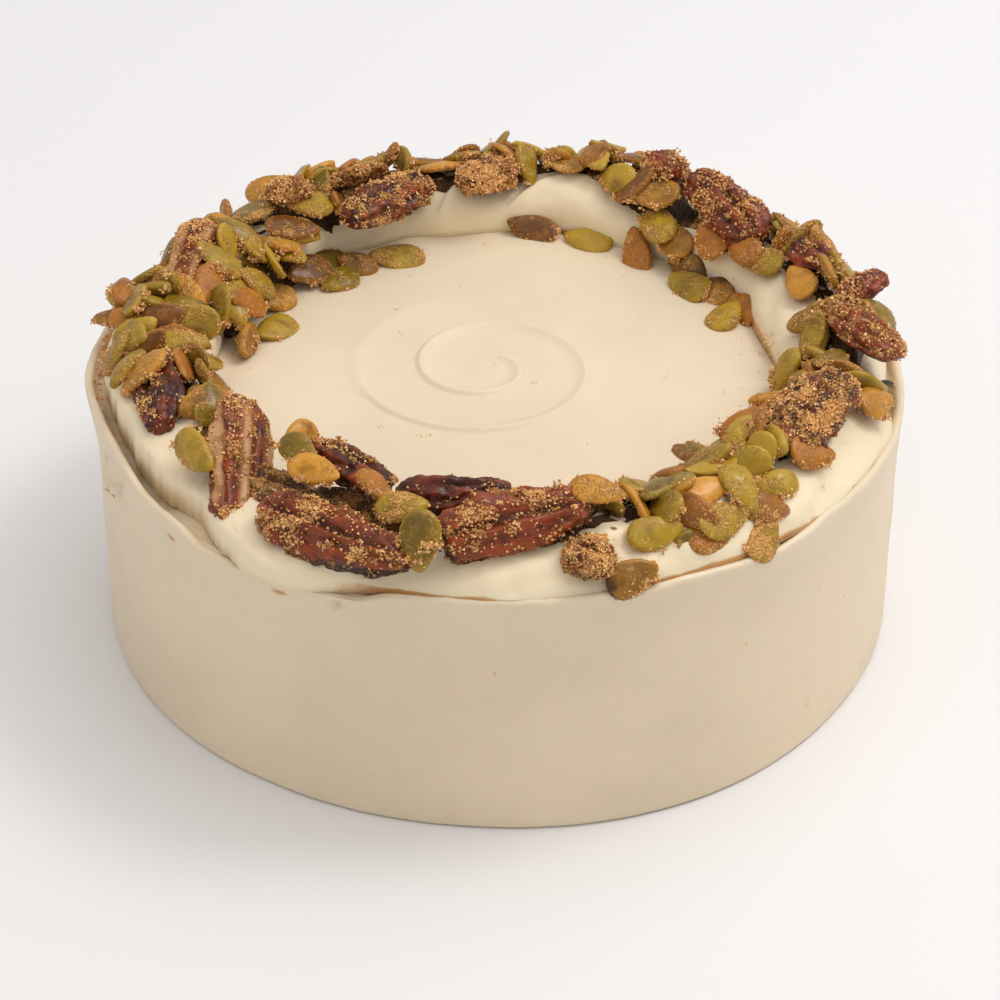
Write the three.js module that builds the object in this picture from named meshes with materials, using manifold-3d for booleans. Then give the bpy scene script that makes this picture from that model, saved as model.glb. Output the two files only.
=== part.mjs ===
// A frosted 8 inch layer cake: smooth sides with a thin scraped lip, a swirled top set a little lower,
// a rope of frosting round the top, and a ring of candied pecans and pumpkin seeds on the rope.
// Millimetres, +Z up. The origin is the centre of the base. Angles run anticlockwise seen from above:
// 0 degrees is +X, 90 is +Y and 270 is -Y, the front.

import * as THREE from 'three';
import { mergeVertices } from 'three/addons/utils/BufferGeometryUtils.js';
import Module from 'manifold-3d';

const wasm = await Module();
wasm.setup();

// Driving dimensions.
const CAKE_RADIUS = 101.5;
const LIP_HEIGHT = 67;
const DISC_HEIGHT = 64;
const ROPE_INNER_RADIUS = 73;
const ROPE_OUTER_RADIUS = 98;
const ROPE_HEIGHT = 75.5;
const HEAP_INNER_RADIUS = 71.5;
const HEAP_OUTER_RADIUS = 98;
const HEAP_HEIGHT = 80;
const GAP = 0.3;

// Smaller sizes that follow from them.
const BASE_ROUNDING = 2;
const LIP_FLARE = 1.6;
const LIP_WIDTH = 2.4;
const LIP_EDGE = 0.9;
const LIP_PRESSED = 2.6;
const ROPE_EDGE = 0.6;
const ROPE_FULLNESS = 0.6;
const HEAP_FULLNESS = 0.45;
const FLARE_START = LIP_HEIGHT - 15;
const SHELF_RADIUS = CAKE_RADIUS - LIP_WIDTH - LIP_EDGE;
const SWIRL_RADIUS = 54;
const SWIRL_CENTRE = 4;
const SWIRL_DEPTH = 0.5;
const SWIRL_PITCH = 22;

// How finely each form is divided.
const RING_STEPS = 72;
const WALL_STEPS = 4;
const FLARE_STEPS = 3;
const DISC_STEPS = 8;
const ROPE_SECTION_STEPS = 8;
const HEAP_SECTION_STEPS = 8;
const NUT_STEPS_AROUND = 8;
const NUT_STEPS_ALONG = 7;

const DEGREE = Math.PI / 180;

// The pecans, each lying with its length along the ring: angle round the cake, radius and height of its
// middle, then yaw, pitch (tip up) and roll (towards the outside) in degrees, and its own three sizes.
// The places are laid by hand in coarse steps: 2.5 degrees round the ring, and 5 of yaw and pitch.
const PECANS = [
  { angle: 200, radius: 87, height: 75.5, yaw: -10, pitch: 0, roll: 40, size: [30, 14, 10] },
  { angle: 225, radius: 85, height: 77, yaw: -45, pitch: -20, roll: 150, size: [38, 16, 10] },
  { angle: 247.5, radius: 96, height: 74.5, yaw: -10, pitch: 0, roll: 30, size: [40, 14, 12] },
  { angle: 242.5, radius: 75, height: 78, yaw: -15, pitch: 0, roll: -10, size: [24, 12, 9] },
  { angle: 262.5, radius: 77, height: 77.5, yaw: 10, pitch: 0, roll: 10, size: [27, 10, 9] },
  { angle: 272.5, radius: 88, height: 78.5, yaw: 15, pitch: 5, roll: 40, size: [35, 15, 12] },
  { angle: 282.5, radius: 97, height: 73, yaw: -40, pitch: 0, roll: 20, size: [12, 11, 9] },
  { angle: 330, radius: 87, height: 80, yaw: -5, pitch: 10, roll: 10, size: [29, 16, 10] },
  { angle: 355, radius: 90, height: 80.5, yaw: 30, pitch: -5, roll: 20, size: [29, 13, 10] },
  { angle: 7.5, radius: 93, height: 82, yaw: -70, pitch: 15, roll: 0, size: [14, 9, 6] },
  { angle: 20, radius: 86, height: 81, yaw: 15, pitch: -10, roll: 0, size: [13, 10, 8] },
  { angle: 42.5, radius: 82, height: 80.5, yaw: -10, pitch: 10, roll: -10, size: [30, 14, 12] },
  { angle: 60, radius: 87, height: 82, yaw: -20, pitch: -15, roll: 10, size: [17, 11, 9] },
  { angle: 92.5, radius: 78, height: 77.5, yaw: 45, pitch: 5, roll: 0, size: [20, 14, 10] },
  { angle: 115, radius: 72, height: 77, yaw: 30, pitch: 5, roll: -10, size: [33, 14, 10] },
  { angle: 117.5, radius: 83, height: 80, yaw: 0, pitch: 0, roll: 60, size: [19, 9, 5] },
  { angle: 132.5, radius: 83, height: 82, yaw: -15, pitch: 0, roll: 0, size: [12, 9, 8] },
  { angle: 160, radius: 83, height: 81, yaw: 10, pitch: -10, roll: 150, size: [30, 13, 10] },
];

const MATERIALS = {
  frosting: new THREE.MeshStandardMaterial({ color: 0xe3d5b8, roughness: 0.55, metalness: 0 }),
  rope: new THREE.MeshStandardMaterial({ color: 0xeae0c8, roughness: 0.5, metalness: 0 }),
  pecan: new THREE.MeshStandardMaterial({ color: 0x6b3020, roughness: 0.4, metalness: 0 }),
  seeds: new THREE.MeshStandardMaterial({ color: 0x8c7a3a, roughness: 0.5, metalness: 0 }),
};

// 1 at the centre angle, falling smoothly to 0 at a number of degrees from it.
function swell(angle, centre, reach) {
  const turn = (((angle - centre) % 360) + 540) % 360 - 180;
  return Math.abs(turn) < reach ? 0.5 + 0.5 * Math.cos(Math.PI * turn / reach) : 0;
}

// A wave with a whole number of crests round the ring.
function wave(angle, crests, shift) {
  return Math.sin((crests * angle + shift) * DEGREE);
}

// 0 below the first value, 1 above the second, and smooth between them.
function rise(value, from, to) {
  return THREE.MathUtils.smoothstep(value, from, to);
}

// Leaves only shared vertices, and drops the triangles that close up at a pole.
function weld(geometry) {
  geometry.deleteAttribute('normal');
  geometry.deleteAttribute('uv');
  const welded = mergeVertices(geometry);
  const corners = Array.from(welded.index.array);
  const kept = [];
  for (let i = 0; i < corners.length; i += 3) {
    const [a, b, c] = corners.slice(i, i + 3);
    if (a !== b && b !== c && c !== a) {
      kept.push(a, b, c);
    }
  }
  welded.setIndex(kept);
  return welded;
}

// Moves every vertex of a welded geometry to where the function says.
function reshape(geometry, move) {
  const position = geometry.getAttribute('position');
  const point = new THREE.Vector3();
  for (let i = 0; i < position.count; i += 1) {
    point.fromBufferAttribute(position, i);
    move(point);
    position.setXYZ(i, point.x, point.y, point.z);
  }
  return geometry;
}

// A closed, welded geometry as a solid that can be cut.
function solid(geometry) {
  const vertProperties = Float32Array.from(geometry.getAttribute('position').array);
  const triVerts = Uint32Array.from(geometry.index.array);
  return new wasm.Manifold(new wasm.Mesh({ numProp: 3, vertProperties, triVerts }));
}

// What is left of a body once each tool has been taken away from it.
function cut(body, tools) {
  let left = solid(body);
  for (const tool of tools) {
    left = left.subtract(solid(tool));
  }
  const mesh = left.getMesh();
  const geometry = new THREE.BufferGeometry();
  geometry.setAttribute('position', new THREE.BufferAttribute(mesh.vertProperties, 3));
  geometry.setIndex(new THREE.BufferAttribute(mesh.triVerts, 1));
  return geometry;
}

// How far the side stands out from the true circle: the scraper left it a little out of round, with a
// fuller foot at the front right and a lip that leans in on the left and swells where frosting piled up.
function sideOffset(angle, height) {
  const up = height / LIP_HEIGHT;
  const round = 0.4 * wave(angle, 2, 30) + 0.25 * wave(angle, 5, 80);
  const foot = 1.3 * swell(angle, 300, 45) - 0.9 * swell(angle, 215, 50);
  const lip = 1.5 * swell(angle, 238, 22) - 2 * swell(angle, 203, 20) + 1.8 * swell(angle, 309, 12)
    + 1.4 * swell(angle, 0, 25) + 1.2 * swell(angle, 180, 14);
  return round + foot * (1 - up) + (LIP_FLARE + lip) * rise(height, FLARE_START, LIP_HEIGHT);
}

// The palette knife's spiral on the top: a shallow ridge that unwinds from the middle.
function swirlHeight(angle, radius) {
  const fade = rise(radius, 0, 3 * SWIRL_CENTRE) * (1 - rise(radius, 0.7 * SWIRL_RADIUS, SWIRL_RADIUS));
  return SWIRL_DEPTH * fade * Math.cos(2 * Math.PI * (radius / SWIRL_PITCH) + angle * DEGREE);
}

// 1 where the rope runs over the lip, and 0 elsewhere.
function overLip(angle) {
  return rise(swell(angle, 240, 22), 0.1, 0.5);
}

// The cake as one solid. Where the rope runs over the lip on the front left, the lip is pressed down.
function cakeGeometry() {
  const profile = [[0, 0], [CAKE_RADIUS - BASE_ROUNDING, 0]];
  profile.push([CAKE_RADIUS - 0.3 * BASE_ROUNDING, 0.3 * BASE_ROUNDING]);
  for (let i = 0; i <= WALL_STEPS; i += 1) {
    profile.push([CAKE_RADIUS, THREE.MathUtils.lerp(BASE_ROUNDING, FLARE_START, i / WALL_STEPS)]);
  }
  for (let i = 1; i <= FLARE_STEPS; i += 1) {
    profile.push([CAKE_RADIUS, THREE.MathUtils.lerp(FLARE_START, LIP_HEIGHT - LIP_EDGE, i / FLARE_STEPS)]);
  }
  profile.push([CAKE_RADIUS - 0.3 * LIP_WIDTH, LIP_HEIGHT]);
  profile.push([CAKE_RADIUS - LIP_WIDTH, LIP_HEIGHT - LIP_EDGE]);
  profile.push([SHELF_RADIUS, DISC_HEIGHT]);
  for (let i = 0; i < DISC_STEPS; i += 1) {
    profile.push([THREE.MathUtils.lerp(SWIRL_RADIUS, SWIRL_CENTRE, i / (DISC_STEPS - 1)), DISC_HEIGHT]);
  }
  profile.push([0, DISC_HEIGHT]);
  const outline = profile.map(([radius, height]) => new THREE.Vector2(radius, height));
  const geometry = weld(new THREE.LatheGeometry(outline, RING_STEPS).rotateX(90 * DEGREE));
  return reshape(geometry, (point) => {
    const radius = Math.hypot(point.x, point.y);
    const angle = Math.atan2(point.y, point.x) / DEGREE;
    if (radius > SHELF_RADIUS - 1) {
      const stretch = (radius + sideOffset(angle, point.z)) / radius;
      point.x *= stretch;
      point.y *= stretch;
      point.z -= LIP_PRESSED * overLip(angle) * rise(point.z, DISC_HEIGHT, LIP_HEIGHT);
    } else if (point.z > 0 && radius > 1) {
      point.z += swirlHeight(angle, radius);
    }
  });
}

// Where the rope of frosting starts, ends and peaks at an angle. It was laid in overlapping strokes:
// each stroke swells and then tucks under the next one. On the front left a stroke runs over the lip.
function ropeAt(angle) {
  const stroke = wave(angle, 11, 0) + 0.5 * wave(angle, 19, 60);
  const inner = ROPE_INNER_RADIUS - 3.5 * swell(angle, 15, 22) + 3.5 * swell(angle, 77, 12)
    + 2.5 * swell(angle, 110, 9) - 0.8 * stroke;
  const outer = ROPE_OUTER_RADIUS - 2.5 * swell(angle, 203, 18) + 8 * swell(angle, 240, 17)
    + 0.8 * swell(angle, 275, 16) + 0.5 * stroke;
  const top = ROPE_HEIGHT - 2.5 * swell(angle, 230, 40) + 1.5 * swell(angle, 85, 25) + 0.9 * stroke;
  return { inner, outer, top };
}

// The rope: a ring whose section is a flattened dome on the shelf inside the lip. With a margin it is
// that much larger outside, and with a depth it reaches that far down, for cutting the heap.
function ropeGeometry(margin = 0, depth = 0) {
  const ring = new THREE.TorusGeometry(CAKE_RADIUS, 1, ROPE_SECTION_STEPS, RING_STEPS);
  return reshape(weld(ring), (point) => {
    const radial = Math.hypot(point.x, point.y) - CAKE_RADIUS;
    const turn = Math.atan2(point.y, point.x);
    const angle = turn / DEGREE;
    const rope = ropeAt(angle);
    const middle = (rope.inner + rope.outer) / 2;
    const halfWidth = (rope.outer - rope.inner) / 2 + margin;
    const radius = middle + radial * halfWidth;
    const foot = DISC_HEIGHT + GAP + (LIP_HEIGHT - LIP_PRESSED - DISC_HEIGHT) * overLip(angle);
    const edge = point.z > -0.1 ? ROPE_EDGE : -depth;
    const crown = (rope.top - foot + margin) * Math.pow(Math.max(point.z, 0), ROPE_FULLNESS);
    const height = foot + (point.z > 0.1 ? crown : edge);
    point.set(radius * Math.cos(turn), radius * Math.sin(turn), height);
  });
}

// The heap of seeds over the rope, uneven all round. Over the front left it thins out to nothing.
function heapAt(angle) {
  const ragged = wave(angle, 17, 20) + 0.7 * wave(angle, 29, 140) + 0.5 * wave(angle, 41, 70);
  const bare = rise(swell(angle, 248, 58), 0.08, 0.4);
  const inner = HEAP_INNER_RADIUS - 3 * swell(angle, 158, 30) + 4 * swell(angle, 12, 26)
    + 3 * swell(angle, 78, 12) - 4 * swell(angle, 322, 20) + 1.1 * ragged;
  const outer = HEAP_OUTER_RADIUS + 4 * swell(angle, 178, 26) + 3 * swell(angle, 5, 30)
    - 3 * swell(angle, 327, 14) + 1.1 * wave(angle, 13, 10) + 0.8 * wave(angle, 31, 0);
  const top = HEAP_HEIGHT + 2.5 * swell(angle, 68, 22) + 1.5 * swell(angle, 128, 20)
    + 1.8 * swell(angle, 12, 24) + 1.0 * swell(angle, 165, 18) - 1.5 * swell(angle, 300, 20) + 0.8 * ragged;
  return { inner, outer, top, bare };
}

// The heap: a ring with steep uneven sides, which the rope and the nuts are then cut out of.
function heapGeometry() {
  const ring = new THREE.TorusGeometry(CAKE_RADIUS, 1, HEAP_SECTION_STEPS, RING_STEPS);
  return reshape(weld(ring), (point) => {
    const radial = Math.hypot(point.x, point.y) - CAKE_RADIUS;
    const turn = Math.atan2(point.y, point.x);
    const heap = heapAt(turn / DEGREE);
    const foot = THREE.MathUtils.lerp(DISC_HEIGHT, LIP_HEIGHT, rise(radial, -0.3, 0.6)) + GAP;
    const middle = (heap.inner + heap.outer) / 2;
    const shrink = 1 - 0.5 * heap.bare;
    const radius = middle + radial * shrink * (heap.outer - heap.inner) / 2;
    const top = THREE.MathUtils.lerp(heap.top, LIP_HEIGHT + 1, heap.bare);
    const height = foot + (point.z > 0.1 ? (top - foot) * Math.pow(point.z, HEAP_FULLNESS) : 0);
    point.set(radius * Math.cos(turn), radius * Math.sin(turn), height);
  });
}

// Half a pecan nut lying flat side down, its tip at +X. The round side has two long lobes with a groove
// between them and a few cross wrinkles, and the flatter side has one shallow furrow along its middle.
function nutGeometry([length, width, thickness], margin = 0) {
  const ball = new THREE.SphereGeometry(1, NUT_STEPS_AROUND, NUT_STEPS_ALONG);
  return reshape(weld(ball.rotateZ(-90 * DEGREE)), (point) => {
    const { x, y, z } = point;
    const taper = 1 - 0.16 * x;
    const blunt = Math.sign(x) * Math.pow(Math.abs(x), 0.85);
    const groove = Math.exp(-Math.pow(y / 0.3, 2)) * (1 - Math.pow(Math.abs(x), 4));
    const wrinkle = 1 + 0.05 * Math.sin(9 * x + 1);
    const domed = (1.25 * z - 0.33 * groove) * wrinkle;
    const flat = 0.6 * z + 0.3 * groove * Math.abs(z);
    point.x = blunt * length / 2 + margin * x;
    point.y = y * taper * wrinkle * width / 2 + margin * y;
    point.z = (z > 0 ? domed : flat) * thickness / 1.7 + margin * z;
  });
}

// Turns a nut and carries it to its place on the ring.
function placeNut(geometry, nut) {
  const [yaw, pitch, roll] = [nut.angle + 90 + nut.yaw, -nut.pitch, nut.roll].map((a) => a * DEGREE);
  const turned = geometry.rotateX(roll).rotateY(pitch).rotateZ(yaw);
  const spot = nut.angle * DEGREE;
  return turned.translate(nut.radius * Math.cos(spot), nut.radius * Math.sin(spot), nut.height);
}

const group = new THREE.Group();

function addMesh(name, geometry, material) {
  const mesh = new THREE.Mesh(geometry, material);
  mesh.name = name;
  group.add(mesh);
}

const nutCutters = PECANS.map((nut) => placeNut(nutGeometry(nut.size, 2 * GAP), nut));
const ropeCutter = ropeGeometry(GAP, ROPE_HEIGHT - DISC_HEIGHT);

addMesh('cake', cakeGeometry(), MATERIALS.frosting);
addMesh('frosting_rope', cut(ropeGeometry(), nutCutters), MATERIALS.rope);
addMesh('seed_heap', cut(heapGeometry(), [ropeCutter, ...nutCutters]), MATERIALS.seeds);
PECANS.forEach((nut, index) => {
  const name = `pecan_${String(index + 1).padStart(2, '0')}`;
  addMesh(name, placeNut(nutGeometry(nut.size), nut), MATERIALS.pecan);
});

export default group;
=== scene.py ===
"""A frosted layer cake with a ring of candied pecans and pumpkin seeds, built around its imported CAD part.

Shapes are worked out in millimetres and turned into metres when a mesh is made. Angles run anticlockwise
seen from above, in degrees: 0 is +X, 90 is +Y and 270 is -Y, the front.
"""

import itertools
import math
from types import SimpleNamespace

import bpy
import numpy as np
from bpy.props import FloatProperty, FloatVectorProperty, IntProperty, PointerProperty
from mathutils import Matrix, Vector


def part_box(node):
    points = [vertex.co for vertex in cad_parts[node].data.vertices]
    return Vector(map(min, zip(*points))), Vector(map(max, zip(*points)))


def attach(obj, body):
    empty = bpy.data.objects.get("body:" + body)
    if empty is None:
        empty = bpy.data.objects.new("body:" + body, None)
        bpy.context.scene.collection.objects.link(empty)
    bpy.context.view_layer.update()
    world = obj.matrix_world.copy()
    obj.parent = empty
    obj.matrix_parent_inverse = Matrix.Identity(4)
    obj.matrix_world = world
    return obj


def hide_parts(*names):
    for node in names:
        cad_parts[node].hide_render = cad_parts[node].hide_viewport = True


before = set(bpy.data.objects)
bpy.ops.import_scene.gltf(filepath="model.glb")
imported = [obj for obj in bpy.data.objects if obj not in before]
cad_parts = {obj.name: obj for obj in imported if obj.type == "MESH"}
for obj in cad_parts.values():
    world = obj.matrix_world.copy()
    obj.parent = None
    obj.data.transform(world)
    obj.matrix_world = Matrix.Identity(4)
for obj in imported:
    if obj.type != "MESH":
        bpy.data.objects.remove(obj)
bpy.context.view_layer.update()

bl_info = {
    "name": "Candied Layer Cake",
    "version": (1, 0, 0),
    "blender": (4, 5, 0),
    "location": "3D View > Sidebar > Layer Cake",
    "description": "Builds a frosted layer cake with a ring of candied nuts and seeds",
    "category": "Add Mesh",
}

MM = 0.001
DEGREE = math.pi / 180
CAKE = "frosted_cake"
ROPE = "frosting_border"
CORE = "sugar_core"
PECAN_NODES = sorted(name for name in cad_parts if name.startswith("pecan"))
PECANS = ["candied_" + node for node in PECAN_NODES]
# The kinds of pumpkin seed, and the share of each among those that fill the heap.
KIND_SHARES = {"green": 0.50, "golden": 0.18, "toasted": 0.32}
SEEDS = ["pumpkin_seeds_" + kind for kind in KIND_SHARES]


# ---------------------------------------------------------------- settings


def length(name, description, default):
    """A size in metres that a user may change."""
    return FloatProperty(
        name=name, description=description, default=default, min=0, unit="LENGTH", precision=5
    )


def colour(name, description, default):
    """A linear colour that a user may change."""
    return FloatVectorProperty(
        name=name, description=description, default=default, subtype="COLOR", size=3, min=0, max=1
    )


class CakeSizes(bpy.types.PropertyGroup):
    radius: length("Radius", "Radius of the smooth side", 0.1015)
    lip: length("Lip height", "Height of the scraped lip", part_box("cake")[1].z)
    top: length("Top height", "Height of the swirled top inside the lip", 0.064)
    rope_inner: length("Rope inside", "Inner radius of the frosting rope", 0.073)
    rope_outer: length("Rope outside", "Outer radius of the frosting rope", 0.098)
    rope_top: length("Rope height", "Height of the frosting rope", 0.0755)
    heap_inner: length("Heap inside", "Inner radius of the heap of seeds", 0.0715)
    heap_outer: length("Heap outside", "Outer radius of the heap of seeds", 0.098)
    heap_top: length("Heap height", "Height of the heap of seeds", 0.080)
    swirl_depth: length("Swirl depth", "Depth of the spiral in the top", 0.0009)
    swirl_pitch: length("Swirl pitch", "Distance between the turns of the spiral", 0.017)
    seed_length: length("Seed length", "Length of a pumpkin seed", 0.0121)
    seed_width: length("Seed width", "Width of a pumpkin seed", 0.0079)
    seed_thickness: length("Seed thickness", "Thickness of a pumpkin seed", 0.0027)
    bedded: length("Bedded", "How deep seeds sink into the sugar", 0.0016)
    grain: length("Sugar grain", "Size of a sugar grain", 0.00052)
    seeds: IntProperty(name="Seeds", description="Seeds dropped on the heap", default=285, min=0)
    grains: IntProperty(name="Grains", description="Sugar grains", default=40000, min=0)
    crumbs: IntProperty(name="Crumbs", description="Crumbs on the top", default=300, min=0)
    chance: IntProperty(name="Chance", description="Start of the random draws", default=11, min=0)


class CakeColours(bpy.types.PropertyGroup):
    frosting: colour("Frosting", "Cream frosting of the side and top", (0.80, 0.66, 0.475))
    # The rope's paler colour is partly its own and partly painted light that brightens it against its shade.
    rope: colour("Rope", "Paler frosting of the rope", (0.90, 0.75, 0.515))
    syrup: colour("Syrup", "Thin syrup where the rope meets the lip", (0.54, 0.225, 0.03))
    skin: colour("Pecan skin", "Red-brown skin of the pecans", (0.28, 0.048, 0.011))
    # The dark skin is the pecans' own purple-brown; darkened further it also gives the painted shade in the
    # folds.
    dark_skin: colour("Dark pecan skin", "Purple-brown skin in the folds", (0.060, 0.013, 0.006))
    flesh: colour("Pecan flesh", "Pale flesh on a pecan's flat side", (0.52, 0.27, 0.11))
    green: colour("Green seeds", "Olive pumpkin seeds", (0.27, 0.165, 0.011))
    golden: colour("Golden seeds", "Tan pumpkin seeds", (0.37, 0.165, 0.016))
    toasted: colour("Toasted seeds", "Toasted pumpkin seeds", (0.26, 0.092, 0.009))
    sugar: colour("Sugar", "Brown sugar grains", (0.88, 0.45, 0.150))
    # The core's dark colour is partly the sugar's own and partly painted shade for the gaps between the
    # seeds.
    core: colour("Core", "Dark sugar between the seeds", (0.105, 0.045, 0.013))
    floor: colour("Floor", "Pale floor", (0.85, 0.84, 0.84))


def setting_names(group):
    """The names of the settings in a group."""
    return [name for name in group.bl_rna.properties.keys() if name not in ("rna_type", "name")]


def sizes_in_mm(context):
    """The sizes of the scene as plain numbers, lengths in millimetres."""
    group = context.scene.cake_sizes
    sizes = SimpleNamespace()
    for name in setting_names(group):
        value = getattr(group, name)
        setattr(sizes, name, value if isinstance(value, int) else value / MM)
    return sizes


def colours_of(context):
    """The colours of the scene as tuples."""
    group = context.scene.cake_colours
    return {name: tuple(getattr(group, name)) for name in setting_names(group)}


# ---------------------------------------------------------------- shape functions


def swell(angle, centre, reach):
    """1 at the centre angle, falling smoothly to 0 at a number of degrees from it."""
    turn = (angle - centre + 180) % 360 - 180
    return np.where(np.abs(turn) < reach, 0.5 + 0.5 * np.cos(np.pi * turn / reach), 0.0)


def bulged(base, angle, *bulges):
    """A value raised by a height round each centre angle, as far as its reach."""
    for height, centre, reach in bulges:
        base = base + height * swell(angle, centre, reach)
    return base


def bump(value, centre, width):
    """1 at the centre, falling off on both sides like a bell."""
    return np.exp(-(((value - centre) / width) ** 2))


def wave(angle, crests, shift):
    """A wave with a whole number of crests round the ring."""
    return np.sin((crests * angle + shift) * DEGREE)


def rise(value, start, end):
    """0 below start, 1 above end, and smooth between them."""
    t = np.clip((value - start) / (end - start), 0, 1)
    return t * t * (3 - 2 * t)


def mix(a, b, share):
    """The value this share of the way from a to b."""
    return a + (b - a) * share


def polar(radius, angle, height):
    """Places given by radius, angle and height, with x, y and z along the last axis."""
    x, y = radius * np.cos(angle * DEGREE), radius * np.sin(angle * DEGREE)
    return np.stack([x, y, height + 0 * radius], -1)


# Large numbers that turn the place of a noise cell, and the seed, into a scattered code.
SCATTER = (73856093, 19349663, 83492791)
SEED_SCATTER = 2654435
CODE_SCATTER = 1274126177
NOISE_ORIGIN = 1000.37


def noise(places, size, seed=0):
    """Smooth noise from -1 to 1 at each place, with features of about this size."""
    scaled = np.asarray(places, float) / size + NOISE_ORIGIN
    cell = np.floor(scaled).astype(np.int64)
    part = scaled - cell
    part = part * part * (3 - 2 * part)
    total = np.zeros(scaled.shape[:-1])
    for corner in itertools.product((0, 1), repeat=3):
        x, y, z = np.moveaxis((cell + corner) * SCATTER, -1, 0)
        code = x ^ y ^ z ^ (seed + 1) * SEED_SCATTER
        code = (code ^ (code >> 13)) * CODE_SCATTER & 0xFFFFFFFF
        value = ((code ^ (code >> 15)) & 0xFFFF) / 32767.5 - 1
        total += value * np.prod(np.where(corner, part, 1 - part), axis=-1)
    return total


def rough(places, size, seed=0, octaves=2):
    """Several layers of noise, each half as large and half as strong as the one before."""
    return sum(noise(places, size / 2**i, seed + i) / 2**i for i in range(octaves))


def side_offset(angle, up):
    """How far the side stands out from the true circle, up being 0 at the foot and 1 at the lip."""
    round_off = 0.4 * wave(angle, 2, 30) + 0.25 * wave(angle, 5, 80)
    foot = bulged(0, angle, (1.3, 300, 45), (-0.9, 215, 50))
    lip = bulged(0, angle, (1.5, 238, 22), (-2, 203, 20), (1.8, 309, 12), (-1.6, 5, 38), (1.2, 180, 14))
    return round_off + foot * (1 - up) + (1.6 + lip) * rise(up, 0.78, 1.0)


def over_lip(angle):
    """1 where the rope runs over the lip, and 0 elsewhere."""
    return rise(swell(angle, 240, 22), 0.1, 0.5)


def meets_lip(angle):
    """1 where the rope is spread out until it meets the lip, and 0 elsewhere."""
    return rise(swell(angle, 300, 66), 0.03, 0.30)


def syrup_runs(angle, right, least):
    """How thick the syrup lies inside the lip: thickest at the front, and least at the back."""
    return bulged(0, angle, (1, 263, 22), (0.9, 300, 26), (right, 330, 30)) + least


def rope_at(angle, sizes):
    """Where the rope starts, ends and peaks at an angle."""
    stroke = wave(angle, 11, 0) + 0.5 * wave(angle, 19, 60)
    inner = bulged(sizes.rope_inner, angle, (-3.5, 15, 22), (3.5, 77, 12), (2.5, 110, 9)) - 0.8 * stroke
    outer = bulged(sizes.rope_outer, angle, (-1.5, 203, 18), (1.5, 182, 12), (8, 240, 17), (0.8, 275, 16))
    top = bulged(sizes.rope_top, angle, (-2.5, 230, 40), (1.5, 85, 25)) + 0.9 * stroke
    return inner, outer + 0.5 * stroke, top


def heap_at(angle, sizes):
    """Where the heap of seeds starts, ends and peaks, and how bare the rope is there."""
    ragged = wave(angle, 17, 20) + 0.7 * wave(angle, 29, 140) + 0.5 * wave(angle, 41, 70)
    inner_bulges = (-5.5, 152, 32), (6, 16, 28), (9, 77, 15), (5, 108, 10), (-4, 322, 20)
    outer_bulges = (3, 180, 26), (1.5, 5, 30), (-4, 42, 16), (-3, 327, 14)
    top_bulges = (2.5, 68, 22), (0.3, 128, 20), (1.8, 12, 24), (1.0, 165, 18), (-1.5, 300, 20)
    inner = bulged(sizes.heap_inner, angle, *inner_bulges) + 1.1 * ragged
    outer = bulged(sizes.heap_outer, angle, *outer_bulges) + 1.1 * wave(angle, 13, 10)
    top = bulged(sizes.heap_top, angle, *top_bulges) + 0.8 * ragged
    return inner, outer, top, rise(swell(angle, 248, 58), 0.08, 0.4)


# ---------------------------------------------------------------- meshes


def place_object(name, data):
    """A new object in the scene that holds this data."""
    made = bpy.data.objects.new(name, data)
    bpy.context.scene.collection.objects.link(made)
    return made


def set_mark(mesh, mark, values):
    """Stores a float at each vertex, which a finish reads by this name; vertices left over get 0."""
    values = np.ravel(values)
    stored = np.zeros(len(mesh.vertices), np.float32)
    stored[: len(values)] = values
    mesh.attributes.new(mark, "FLOAT", "POINT").data.foreach_set("value", stored)


def make_piece(name, points, faces, finish, marks):
    """A smooth mesh object from points in millimetres, with a float attribute for each mark."""
    mesh = bpy.data.meshes.new(name)
    mesh.from_pydata((points.reshape(-1, 3) * MM).tolist(), [], faces)
    mesh.validate()
    mesh.shade_smooth()
    for mark, values in marks.items():
        set_mark(mesh, mark, values)
    mesh.materials.append(finish)
    piece = place_object(name, mesh)
    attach(piece, "root")
    return piece


def ring_angles(columns):
    """The angles of a grid's columns round the ring, in degrees."""
    return np.arange(columns) * 360 / columns


def ring_faces(rows, columns, closed=True):
    """Faces of a grid whose columns run round a ring; if closed, its rows run round too."""
    row, column = np.meshgrid(np.arange(rows if closed else rows - 1), np.arange(columns), indexing="ij")
    below, beside = (row + 1) % rows, (column + 1) % columns
    here, under = row * columns, below * columns
    corners = [here + column, here + beside, under + beside, under + column]
    return np.stack(corners, -1).reshape(-1, 4).tolist()


def capped_faces(rows, columns):
    """Faces of a ring grid that ends in a point at each end; the two points come last."""
    faces = ring_faces(rows, columns, closed=False)
    first, last = rows * columns, rows * columns + 1
    for column in range(columns):
        beside = (column + 1) % columns
        faces.append((first, beside, column))
        faces.append((last, (rows - 1) * columns + column, (rows - 1) * columns + beside))
    return faces


def turned(yaw, pitch, roll):
    """The rotation that rolls about x, pitches the +x end up, and then yaws, in degrees."""
    turn = (
        Matrix.Rotation(yaw * DEGREE, 3, "Z")
        @ Matrix.Rotation(-pitch * DEGREE, 3, "Y")
        @ Matrix.Rotation(roll * DEGREE, 3, "X")
    )
    return np.array(turn)


def read(items, attribute, width=3):
    """What many vertices or faces hold under this name, one row for each."""
    values = np.zeros(len(items) * width, np.float32)
    items.foreach_get(attribute, values)
    return values.reshape(-1, width)


def mesh_points(name):
    """The vertices of a built piece, in millimetres."""
    return read(bpy.data.objects[name].data.vertices, "co").astype(float) / MM


# ---------------------------------------------------------------- finishes


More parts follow.
